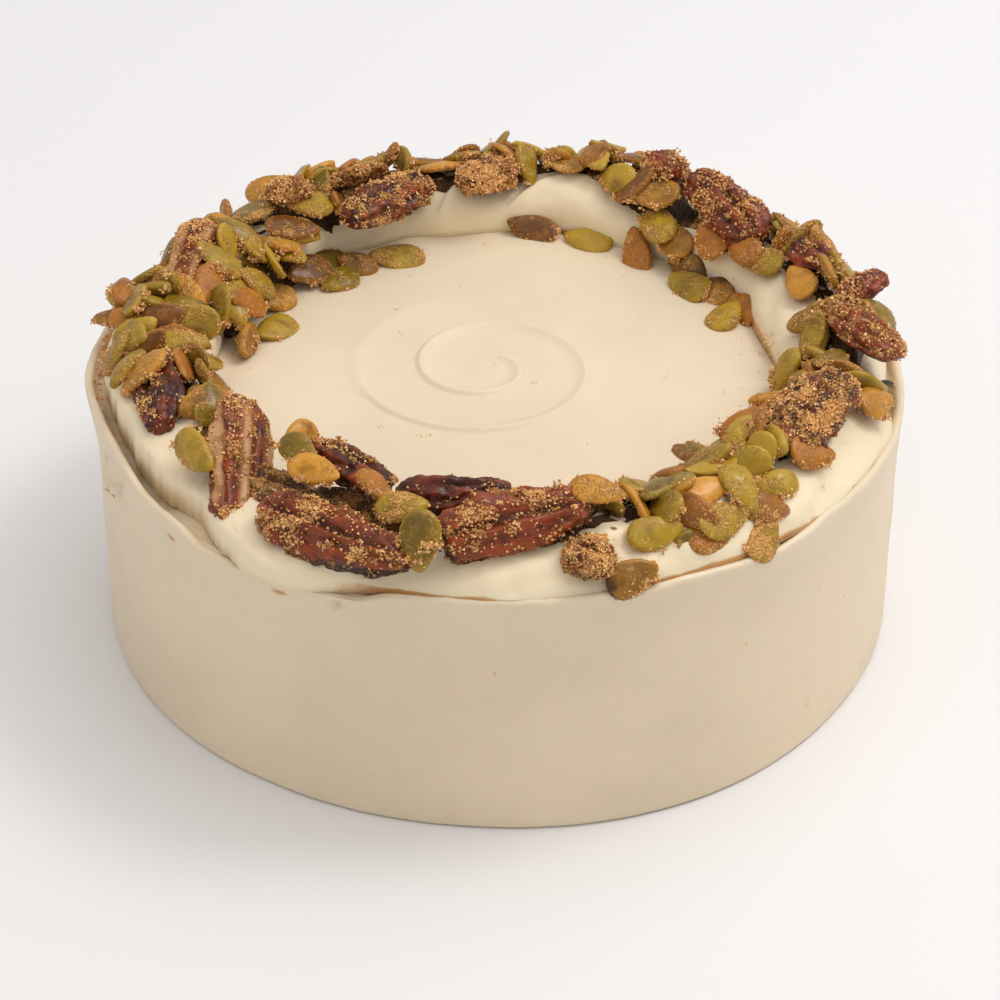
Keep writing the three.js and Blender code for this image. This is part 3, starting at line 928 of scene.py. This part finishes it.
LEAN_SIDES = {"out": 0, "on": 90, "in": 180}


def neighbours(grid, **border):
    """A grid shifted by up to one cell each way, nine grids in all."""
    rows, columns = grid.shape
    padded = np.pad(grid, 1, **border)
    return [padded[i : i + rows, j : j + columns] for i in range(3) for j in range(3)]


class Landing:
    """A map of how high the toppings reach, on which things are dropped one after another."""

    CELL = 0.8
    HALF = 116
    LOWEST = 40
    EMPTY = -1e9

    def __init__(self, names):
        count = int(2 * self.HALF / self.CELL)
        self.height = np.full((count, count), self.EMPTY)
        for name in names:
            self.cover(mesh_points(name))
        # Cells that no vertex fell in take the height of the highest cell beside them.
        for _ in range(4):
            near = np.max(neighbours(self.height, constant_values=self.EMPTY), axis=0)
            self.height = np.where(self.height == self.EMPTY, near, self.height)

    def cells(self, points):
        """The row and column of the cell under each point."""
        cell = ((points[..., :2] + self.HALF) / self.CELL).astype(int)
        return tuple(np.moveaxis(np.clip(cell, 0, len(self.height) - 1), -1, 0))

    def cover(self, points):
        """Raises the map to these points, apart from those low on the side."""
        points = points[points[:, 2] > self.LOWEST]
        np.maximum.at(self.height, self.cells(points), points[:, 2])

    def at(self, points):
        """The height of the map under each point."""
        return self.height[self.cells(points)]

    def slope(self, x, y, reach):
        """The upward normal of the map round a place."""
        near = [(x, y, 0)]
        for turn in np.arange(12) * math.pi / 6:
            for part in (0.5, 1):
                near.append((x + part * reach * math.cos(turn), y + part * reach * math.sin(turn), 0))
        near = np.array(near)
        beside = np.c_[near[:, :2] - (x, y), np.ones(len(near))]
        plane = np.linalg.lstsq(beside, self.at(near), rcond=None)[0]
        plane = plane * min(1.0, 0.9 / max(math.hypot(plane[0], plane[1]), 1e-6))
        normal = np.array([-plane[0], -plane[1], 1.0])
        return normal / np.linalg.norm(normal)

    def depths(self, points):
        """How deep points lie in the gaps between the tops on either side of them, from 0 to 1."""
        apart = 4
        tops = np.mean(neighbours(self.height, mode="edge"), axis=0)
        total = np.zeros(len(points))
        for across, along in ((1, 0), (0, 1), (1, 1), (1, -1)):
            step = np.array([across, along]) * apart
            walls = np.minimum(np.roll(tops, step, (0, 1)), np.roll(tops, -step, (0, 1)))
            total += np.maximum(walls[self.cells(points)] - points[:, 2], 0)
        return rise(total / 4, 0.35, 3.0)

    def drop(self, points, x, y, sink, share):
        """Points moved to a place and lowered while this percentage of them is clear, then sunk a little."""
        moved = points + (x, y, 0)
        moved[:, 2] += np.percentile(self.at(moved) - moved[:, 2], share) - sink
        return moved


def onto(normal):
    """The rotation that carries the z axis onto a normal."""
    return np.array(Vector((0, 0, 1)).rotation_difference(Vector(normal)).to_matrix())


def denser(points):
    """The points of a seed and those half way between its rings and columns."""
    grid = points[:-2].reshape(len(SEED_RINGS), SEED_COLUMNS, 3)
    between = (grid[:-1] + grid[1:]) / 2
    grid = np.concatenate([grid, between])
    return np.concatenate([grid, (grid + np.roll(grid, 1, axis=1)) / 2]).reshape(-1, 3)


def facing(angle, turn, lean, side):
    """The rotation of a seed at an angle of the ring, turned from the ring's direction and leant over."""
    normal = polar(math.sin(lean * DEGREE), angle + LEAN_SIDES[side], math.cos(lean * DEGREE))
    along = polar(1.0, angle + 90 - turn, 0.0)
    along -= (along @ normal) * normal
    along /= np.linalg.norm(along)
    return np.stack([along, np.cross(normal, along), normal], 1)


def random_seed(sizes, size, draw):
    """A seed of about this size, a little uneven."""
    return seed_shape(
        sizes.seed_length * size * draw.uniform(0.95, 1.05),
        sizes.seed_width * size * draw.uniform(0.92, 1.08),
        sizes.seed_thickness * draw.uniform(0.85, 1.35),
        draw,
    )


def heap_target(angle, radius, sizes):
    """How high the heap should reach at a place, or well below the rope where it is bare."""
    inner, outer, top, bare = heap_at(angle, sizes)
    across = np.clip((radius - (inner + outer) / 2) / ((outer - inner) / 2), -1, 1)
    foot = mix(sizes.top, sizes.lip, rise(across, -0.3, 0.6))
    return mix(foot + (top - foot) * np.sqrt(1 - across**2) ** 0.7, 0, bare > 0.5)


def lay_shown_seeds(kinds, landing, sizes, draw):
    """Lays the seeds that show, those at the foot of the ring first, so that the others rest on them."""
    ring = (sizes.heap_inner + sizes.heap_outer) / 2
    foot_first = sorted(SHOWN_SEEDS, key=lambda row: -abs(row[2] - ring))
    for kind, angle, radius, turn, lean, side, size in foot_first:
        shape, rims = random_seed(sizes, size, draw)
        x, y = polar(radius, angle, 0)[:2]
        laid = landing.drop(shape @ facing(angle, turn, lean, side).T, x, y, sink=0.5, share=94)
        limit = heap_target(np.array([angle]), np.array([radius]), sizes)[0]
        if limit > 0:
            laid[:, 2] -= max(0.0, laid[:, 2].mean() - limit - 0.6 - 0.035 * lean)
        landing.cover(denser(laid))
        kinds[kind].append((laid, rims, draw.random()))


# How the heap is filled, in millimetres: the gap below its outline that is still filled, how near a
# place where no seed would lie well is left alone, and how far off the outline a seed may lie.
LEAST_GAP = 0.4
REFUSED_REACH = 2.5
WORST_MISS = 3.0
GOOD_MISS = 1.3


def best_fall(shape, x, y, target, landing, draw):
    """A seed dropped in several ways, until it lies close to a height; and how far off the best one is."""
    normal = landing.slope(x, y, reach=4.0)
    closest, miss = None, math.inf
    for share in np.linspace(96, 85, 14):
        roll = draw.uniform(35, 78) if draw.random() < 0.18 else draw.normal(0, 23)
        spin = turned(draw.uniform(0, 360), draw.normal(0, 17), roll)
        moved = landing.drop(shape @ (onto(normal) @ spin).T, x, y, 0.45, share)
        over = moved[:, 2].mean() - (target - 0.9)
        off = max(over, -0.35 * over)
        if off < miss:
            closest, miss = moved, off
        if miss < GOOD_MISS:
            break
    return closest, miss


def fill_heap(kinds, landing, sizes, draw):
    """Fills the rest of the ring, always at the place that lies furthest below the heap's outline."""
    tried, spent = 260, 0
    refused = np.empty((0, 2))
    for _ in range(6 * sizes.seeds):
        if spent == sizes.seeds:
            break
        angles = draw.uniform(0, 360, tried)
        inner, outer, _, _ = heap_at(angles, sizes)
        outer = outer - 9 * swell(angles, 207, 22)
        radii = mix(inner + 1, outer - 3.5, draw.random(tried))
        target = heap_target(angles, radii, sizes)
        spots = polar(radii, angles, 0)
        want = (target - landing.at(spots)) * draw.uniform(0.75, 1, tried)
        apart = np.linalg.norm(spots[:, None, :2] - refused[None], axis=2)
        want[(apart < REFUSED_REACH).any(axis=1)] = -1
        best = int(np.argmax(want))
        if want[best] < LEAST_GAP:
            break
        x, y = spots[best, :2]
        shape, rims = random_seed(sizes, draw.uniform(0.9, 1.2), draw)
        laid, miss = best_fall(shape, x, y, target[best], landing, draw)
        if miss > WORST_MISS:
            refused = np.vstack([refused, (x, y)])
            continue
        laid[:, 2] -= np.clip(laid[:, 2].mean() - (target[best] - 0.3), 0, 1.1)
        landing.cover(denser(laid))
        kind = draw.choice(list(KIND_SHARES), p=list(KIND_SHARES.values()))
        kinds[kind].append((laid, rims, draw.random()))
        spent += 1


def heap_seeds(context):
    """The core and the seeds on it, one piece for each kind of seed."""
    sizes, colours = sizes_in_mm(context), colours_of(context)
    draw = np.random.default_rng(sizes.chance + 1)
    make_core(sizes, colours)
    landing = Landing([CAKE, ROPE, *PECANS])
    landing.cover(mesh_points(CORE) - (0, 0, sizes.bedded))
    kinds = {kind: [] for kind in KIND_SHARES}
    lay_shown_seeds(kinds, landing, sizes, draw)
    fill_heap(kinds, landing, sizes, draw)
    for name, (kind, seeds) in zip(SEEDS, kinds.items()):
        shapes, rims, tones = zip(*seeds)
        points, count = np.vstack(shapes), len(rims[0])
        steps = range(0, len(points), count)
        faces = [[corner + step for corner in face] for step in steps for face in SEED_FACES]
        # The deep mark paints shade into the gaps between the toppings, less on seeds that lie open on the
        # top.
        open_top = 1 - rise(np.hypot(points[:, 0], points[:, 1]), 64, 76)
        marks = {
            "rim": rims,
            "tone": np.repeat(tones, count),
            "sugared": np.repeat(draw.beta(1.2, 1.7, len(seeds)), count),
            "deep": landing.depths(points) * (1 - 0.75 * open_top),
        }
        finish = seed_finish("pumpkin_seed_" + kind, colours[kind], colours)
        make_piece(name, points, faces, finish, marks)
    # The core and the pecans take the same painted shade in the gaps.
    for name in [CORE, *PECANS]:
        set_mark(bpy.data.objects[name].data, "deep", landing.depths(mesh_points(name)))


def blurred(values, times):
    """A ring grid smoothed a little, round the ring and across it."""
    for _ in range(times):
        padded = np.pad(values, ((1, 1), (0, 0)), mode="edge")
        across = (padded[:-2] + 2 * values + padded[2:]) / 4
        values = (np.roll(across, 1, 1) + 2 * across + np.roll(across, -1, 1)) / 4
    return values


def propped(height, x, y, node):
    """The core's height raised until it reaches into the pecan that lies on it."""
    middle, axes, low, high = nut_frame(node)
    run = np.linalg.norm(axes[:2, 0])
    along = ((x - middle[0]) * axes[0, 0] + (y - middle[1]) * axes[1, 0]) / run
    beside = ((y - middle[1]) * axes[0, 0] - (x - middle[0]) * axes[1, 0]) / run
    apart = (along / (high[0] * run)) ** 2 + (beside / high[1]) ** 2
    level = middle[2] + along * axes[2, 0] / run - 1.5
    return np.maximum(height, mix(level, height, rise(apart, 0.25, 0.9)))


def make_core(sizes, colours):
    """A bed of sugar under the seeds and pecans, lying close on the frosting, dark partly as painted shade in
    the gaps.
    """
    columns, rows = 720, 36
    angle, across = np.meshgrid(ring_angles(columns), np.linspace(-1, 1, rows))
    inner, outer, _, _ = heap_at(angle, sizes)
    bed = rise(swell(angle, 250, 46), 0.12, 0.5)
    ragged = rough(polar(90, angle, 0 * angle), 6, 84)
    inner = mix(inner + 4 + 4 * swell(angle, 92, 42), 76, bed) + 0.7 * ragged
    outer = mix(outer - 7 - 6 * swell(angle, 207, 22), 92, bed) - ragged
    radius = (inner + outer) / 2 + across * (outer - inner) / 2
    places = polar(radius, angle, 0)
    under = blurred(Landing([CAKE, ROPE]).at(places), 2)
    height = np.maximum(under + 0.9 + 1.1 * bed, heap_target(angle, radius, sizes) - 6.0)
    for node in PECAN_NODES:
        height = propped(height, places[..., 0], places[..., 1], node)
    lumps = rough(places, 4, 80, 3) * mix(1, 0.6, bed)
    full = np.sqrt(np.clip(1 - across**2, 0, 1)) ** 0.6
    height = mix(under - 1.5, blurred(height, 2) + np.maximum(0.9 * lumps, -0.5), full)
    # The underside lies flat inside the frosting.
    low_angle, low_across = np.meshgrid(angle[0], np.linspace(1, -1, 6)[1:-1])
    low_radius = (inner[0] + outer[0]) / 2 + low_across * (outer[0] - inner[0]) / 2
    underside = polar(low_radius, low_angle, sizes.top - 3.5)
    points = np.vstack([polar(radius, angle, height), underside])
    faces = ring_faces(len(points), columns)
    piece = make_piece(CORE, points, faces, core_finish(colours), {"bed": bed})
    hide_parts("seed_heap")


# ---------------------------------------------------------------- sugar and crumbs

# A grain is a four-cornered crystal. The crumbs on the top lie inside the ring.
CRYSTAL = np.array([(1, 1, 1), (1, -1, -1), (-1, 1, -1), (-1, -1, 1)]) * 0.48
CRYSTAL_FACES = np.array([(0, 1, 2), (0, 2, 3), (0, 3, 1), (1, 3, 2)])
CRUMB_RING = 72


def crystals(centres, sizes, draw):
    """Points and faces of a small uneven crystal at each centre, each turned its own way."""
    count, corners = len(centres), len(CRYSTAL)
    uneven = draw.uniform(-0.16, 0.16, (count, corners, 3))
    shapes = CRYSTAL[None] * draw.uniform(0.7, 1.15, (count, 1, 3)) + uneven
    turns = draw.normal(size=(count, 4))
    w, x, y, z = (turns / np.linalg.norm(turns, axis=1)[:, None]).T
    rotation = np.stack(
        [
            np.stack([1 - 2 * (y * y + z * z), 2 * (x * y - z * w), 2 * (x * z + y * w)], -1),
            np.stack([2 * (x * y + z * w), 1 - 2 * (x * x + z * z), 2 * (y * z - x * w)], -1),
            np.stack([2 * (x * z - y * w), 2 * (y * z + x * w), 1 - 2 * (x * x + y * y)], -1),
        ],
        1,
    )
    points = np.einsum("nij,nkj->nki", rotation, shapes) * sizes[:, None, None] + centres[:, None]
    faces = CRYSTAL_FACES[None] + corners * np.arange(count)[:, None, None]
    return points, faces.reshape(-1, 3).tolist()


def surface_samples(names, count, draw, patch, seed, contrast=1.5):
    """Random places on the skins of these pieces, in patches, with their outward normals."""
    centres, normals, weights = [], [], []
    for name in names:
        faces = bpy.data.objects[name].data.polygons
        centres.append(read(faces, "center") / MM)
        normals.append(read(faces, "normal"))
        weights.append(read(faces, "area", 1)[:, 0] * (0.03 + PECAN_SUGAR.get(name, 1.0)))
    centres, normals, weights = np.vstack(centres), np.vstack(normals), np.concatenate(weights)
    patchy = np.clip(rough(centres, patch, seed, 3) + 0.25, 0, 1) ** contrast
    weights = weights * (patchy + 0.04) * (normals[:, 2] > -0.35)
    chosen = draw.choice(len(weights), count, p=weights / weights.sum())
    spread = draw.normal(0, 0.35, (count, 3))
    spread -= normals[chosen] * np.sum(spread * normals[chosen], axis=1)[:, None]
    return centres[chosen] + spread, normals[chosen]


def sugar_piece(name, centres, size, base, draw, tops=None, darkest=0.6):
    """One piece of loose or stuck grains, with painted shade where they lie deep below the tops round them.
    """
    points, faces = crystals(centres, size, draw)
    marks = {"tone": np.repeat(draw.random(len(centres)), len(CRYSTAL))}
    if tops:
        marks["deep"] = np.repeat(tops.depths(centres), len(CRYSTAL))
    finish = sugar_finish(name + "_finish", base, darkest)
    make_piece(name, points, faces, finish, marks).data.shade_flat()


def clumped(hearts, least, most, reach, draw):
    """Places of grains stuck together in lumps round these hearts."""
    each = draw.integers(least, most, len(hearts))
    wide = np.repeat(draw.uniform(0.5, 1.2, len(hearts)) * reach, each)
    spread = draw.normal(0, 1, (each.sum(), 3)) * (1, 1, 0.7)
    return np.repeat(hearts, each, axis=0) + np.clip(spread, -1.7, 1.7) * wide[:, None]


def nestled(places, count, tops):
    """Those of these places that lie in the gaps, but not so deep that they are hidden."""
    miss = np.abs(tops.depths(places) - 0.15)
    return places[np.argsort(miss)[:count]]


def dust_sugar(context):
    """Grains lying on the seeds, the pecans and the core, and lumps of grains stuck between them."""
    sizes, colours = sizes_in_mm(context), colours_of(context)
    draw = np.random.default_rng(sizes.chance + 2)
    tops = Landing([*SEEDS, CORE, *PECANS])
    sugar, toasted = colours["sugar"], mixed(colours["sugar"], colours["toasted"], 0.45)
    # Name, what carries it, its share of the grains, the start of its noise, how patchy it is, its colour.
    dusted = (
        ("sugar_on_seeds", SEEDS, 1.0, 90, 1.8, sugar),
        ("sugar_on_pecans", PECANS, 0.4, 93, 3.0, sugar),
        ("sugar_on_core", [CORE], 0.25, 99, 1.5, toasted),
    )
    for name, bearers, part, seed, contrast, base in dusted:
        count = int(sizes.grains * part)
        places, normals = surface_samples(bearers, count, draw, 5.0, seed, contrast)
        size = sizes.grain * draw.uniform(0.5, 1.35, count)
        sugar_piece(name, places + normals * size[:, None] * 0.25, size, base, draw, tops)
    # Name, what carries it, how many lumps, and their colour.
    lumps = (
        ("sugar_clumps", [*SEEDS, CORE], 780, sugar),
        ("toasted_sugar", [*PECANS, CORE], 380, toasted),
        ("bed_sugar", [CORE], 200, sugar),
    )
    for name, bearers, count, base in lumps:
        hearts, _ = surface_samples(bearers, 4 * count, draw, 8.0, 95)
        places = clumped(nestled(hearts, count, tops), 8, 40, sizes.grain * 1.3, draw)
        size = sizes.grain * draw.uniform(0.7, 1.6, len(places))
        sugar_piece(name, places, size, base, draw, tops)


def drop_crumbs(context):
    """Loose crumbs on the top, with a few small clusters, and orange crumbs on the lip and the rope."""
    sizes, colours = sizes_in_mm(context), colours_of(context)
    draw = np.random.default_rng(sizes.chance + 3)
    landing = Landing([CAKE, ROPE])
    count, clusters = sizes.crumbs, 40
    near = draw.random(count) < 0.72
    angle = draw.uniform(0, 360, count)
    angle = np.where(draw.random(count) < 0.35, draw.normal(340, 35, count), angle)
    by_rope = CRUMB_RING - 1 - np.abs(draw.normal(0, 6, count))
    anywhere = CRUMB_RING * np.sqrt(draw.random(count))
    centres = polar(np.where(near, by_rope, anywhere), angle, 0)
    size = np.where(draw.random(count) < 0.08, 0.8, 0.38) * draw.uniform(0.6, 1.4, count)
    small = clumped(centres[:clusters], 4, 11, 0.8, draw)
    centres = np.vstack([centres, small])
    size = np.append(size, draw.uniform(0.3, 0.7, len(small)))
    centres[:, 2] = landing.at(centres) - 0.2 * size
    pale = mixed(colours["sugar"], PALE_CRUMB, 0.6)
    sugar_piece("loose_crumbs", centres, size, pale, draw, darkest=0.75)
    # The orange crumbs fell on the lip at the left, and in a heap on the rope at the front.
    on_lip, on_rope = 22, 16
    angle = np.append(draw.normal(174, 9, on_lip), draw.normal(268, 1.3, on_rope))
    radius = np.append(draw.normal(100.5, 1.0, on_lip), draw.normal(92.5, 1.3, on_rope))
    places = clumped(polar(radius, angle, 0), 2, 8, 0.7, draw)
    places[:, 2] = landing.at(places) + 0.1
    size = draw.uniform(0.35, 0.9, len(places))
    sugar_piece("rim_crumbs", places, size, mixed(colours["sugar"], ORANGE_CRUMB, 0.6), draw)


# ---------------------------------------------------------------- stage

# Name, place, width, power and tint of each light. They all point at the cake.
LIGHTS = (
    ("window", (0.66, 0.20, 1.35), 1.9, 9.8, (1.0, 0.99, 0.97)),
    ("lamp", (0.70, 0.14, 1.25), 0.45, 4.3, (1.0, 0.98, 0.95)),
    ("fill", (-0.7, -0.7, 1.3), 1.6, 2.6, (1.0, 0.98, 0.96)),
)
LIGHT_TARGET = (0, 0, 0.05)
SKY = (0.985, 0.975, 0.975, 1)
SKY_STRENGTH = 0.61
FLOOR_HALF = 4
FLOOR_GAP = 0.0003

# The camera looks down at the cake from the front. Its lens and sensor are in millimetres, and its other
# lengths in metres.
LENS = 113.0
SENSOR = 36.0
CAMERA_DISTANCE = 0.812
CAMERA_ELEVATION = 33.56
CAMERA_ROLL = 0.24
CAMERA_TARGET = (0, 0, 0.0336)
AIM_RIGHT = 0.000585
AIM_UP = -0.00648


def aim(thing, place, target, roll=0.0):
    """Puts a camera or light somewhere, looking at a target."""
    toward = Vector(target) - Vector(place)
    turn = toward.to_track_quat("-Z", "Y").to_matrix().to_4x4()
    thing.matrix_world = Matrix.Translation(place) @ turn @ Matrix.Rotation(roll * DEGREE, 4, "Z")


def lay_floor(colours):
    """A plain pale floor, just under the cake."""
    finish = Finish("pale_floor", Roughness=0.35, Specular_IOR_Level=0.35)
    body = finish.blend(shade(colours["floor"], 0.99), colours["floor"], finish.noise(3, 2))
    corners = [(x * FLOOR_HALF, y * FLOOR_HALF, 0) for x, y in ((-1, -1), (1, -1), (1, 1), (-1, 1))]
    mesh = bpy.data.meshes.new("floor")
    mesh.from_pydata(corners, [], [(0, 1, 2, 3)])
    mesh.materials.append(finish.use(body))
    floor = place_object("floor", mesh)
    floor.location.z = -FLOOR_GAP


def light_studio(scene):
    """A pale sky and three soft lights."""
    scene.world = bpy.data.worlds.new("studio")
    scene.world.use_nodes = True
    sky = scene.world.node_tree.nodes["Background"]
    sky.inputs["Color"].default_value = SKY
    sky.inputs["Strength"].default_value = SKY_STRENGTH
    for name, place, width, power, tint in LIGHTS:
        data = bpy.data.lights.new(name, "AREA")
        data.shape = "DISK"
        data.size = width
        data.energy = power
        data.color = tint
        aim(place_object(name, data), place, LIGHT_TARGET)


def set_camera(scene):
    """A camera in front of the cake and above it."""
    data = bpy.data.cameras.new("camera")
    data.lens = LENS
    data.sensor_width = SENSOR
    camera = place_object("camera", data)
    sine, cosine = math.sin(CAMERA_ELEVATION * DEGREE), math.cos(CAMERA_ELEVATION * DEGREE)
    target = Vector(CAMERA_TARGET)
    place = target + CAMERA_DISTANCE * Vector((0, -cosine, sine))
    shifted = target + AIM_UP * Vector((0, sine, cosine)) + Vector((AIM_RIGHT, 0, 0))
    aim(camera, place, shifted, CAMERA_ROLL)
    scene.camera = camera


def set_stage(context):
    """The floor, the lights and the camera."""
    lay_floor(colours_of(context))
    light_studio(context.scene)
    set_camera(context.scene)
    context.scene.view_settings.view_transform = "Standard"


# ---------------------------------------------------------------- operators and panel


class CAKE_OT_frost_cake(bpy.types.Operator):
    """Builds the smooth cake with its lip and swirled top"""

    bl_idname = "cake.frost_cake"
    bl_label = "Frost Cake"
    bl_options = {"REGISTER", "UNDO"}

    def execute(self, context):
        frost_cake(context)
        return {"FINISHED"}


class CAKE_OT_lay_rope(bpy.types.Operator):
    """Builds the rope of paler frosting round the top"""

    bl_idname = "cake.lay_rope"
    bl_label = "Lay Rope"
    bl_options = {"REGISTER", "UNDO"}

    def execute(self, context):
        lay_rope(context)
        return {"FINISHED"}


class CAKE_OT_place_pecans(bpy.types.Operator):
    """Builds the candied pecans where the part has them"""

    bl_idname = "cake.place_pecans"
    bl_label = "Place Pecans"
    bl_options = {"REGISTER", "UNDO"}

    def execute(self, context):
        place_pecans(context)
        return {"FINISHED"}


class CAKE_OT_heap_seeds(bpy.types.Operator):
    """Heaps pumpkin seeds over a smaller core"""

    bl_idname = "cake.heap_seeds"
    bl_label = "Heap Seeds"
    bl_options = {"REGISTER", "UNDO"}

    def execute(self, context):
        heap_seeds(context)
        return {"FINISHED"}


class CAKE_OT_dust_sugar(bpy.types.Operator):
    """Dusts the nuts and seeds with sugar grains, and packs lumps of them in between"""

    bl_idname = "cake.dust_sugar"
    bl_label = "Dust Sugar"
    bl_options = {"REGISTER", "UNDO"}

    def execute(self, context):
        dust_sugar(context)
        return {"FINISHED"}


class CAKE_OT_drop_crumbs(bpy.types.Operator):
    """Scatters crumbs on the top"""

    bl_idname = "cake.drop_crumbs"
    bl_label = "Drop Crumbs"
    bl_options = {"REGISTER", "UNDO"}

    def execute(self, context):
        drop_crumbs(context)
        return {"FINISHED"}


class CAKE_OT_set_stage(bpy.types.Operator):
    """Builds the floor, the lights and the camera"""

    bl_idname = "cake.set_stage"
    bl_label = "Set Stage"
    bl_options = {"REGISTER", "UNDO"}

    def execute(self, context):
        set_stage(context)
        return {"FINISHED"}


STEPS = (
    CAKE_OT_frost_cake,
    CAKE_OT_lay_rope,
    CAKE_OT_place_pecans,
    CAKE_OT_heap_seeds,
    CAKE_OT_dust_sugar,
    CAKE_OT_drop_crumbs,
    CAKE_OT_set_stage,
)


class CAKE_PT_panel(bpy.types.Panel):
    """Lists the steps and the settings in the sidebar."""

    bl_label = "Layer Cake"
    bl_idname = "CAKE_PT_panel"
    bl_space_type = "VIEW_3D"
    bl_region_type = "UI"
    bl_category = "Layer Cake"

    def draw(self, context):
        for step in STEPS:
            self.layout.operator(step.bl_idname)
        for group in (context.scene.cake_sizes, context.scene.cake_colours):
            box = self.layout.box()
            for name in setting_names(group):
                box.prop(group, name)


CLASSES = (CakeSizes, CakeColours, *STEPS, CAKE_PT_panel)


def register():
    for cls in CLASSES:
        bpy.utils.register_class(cls)
    bpy.types.Scene.cake_sizes = PointerProperty(type=CakeSizes)
    bpy.types.Scene.cake_colours = PointerProperty(type=CakeColours)


def unregister():
    del bpy.types.Scene.cake_colours
    del bpy.types.Scene.cake_sizes
    for cls in reversed(CLASSES):
        bpy.utils.unregister_class(cls)


def main():
    register()
    for step in STEPS:
        getattr(bpy.ops.cake, step.bl_idname.removeprefix("cake."))()


if __name__ == "__main__":
    main()
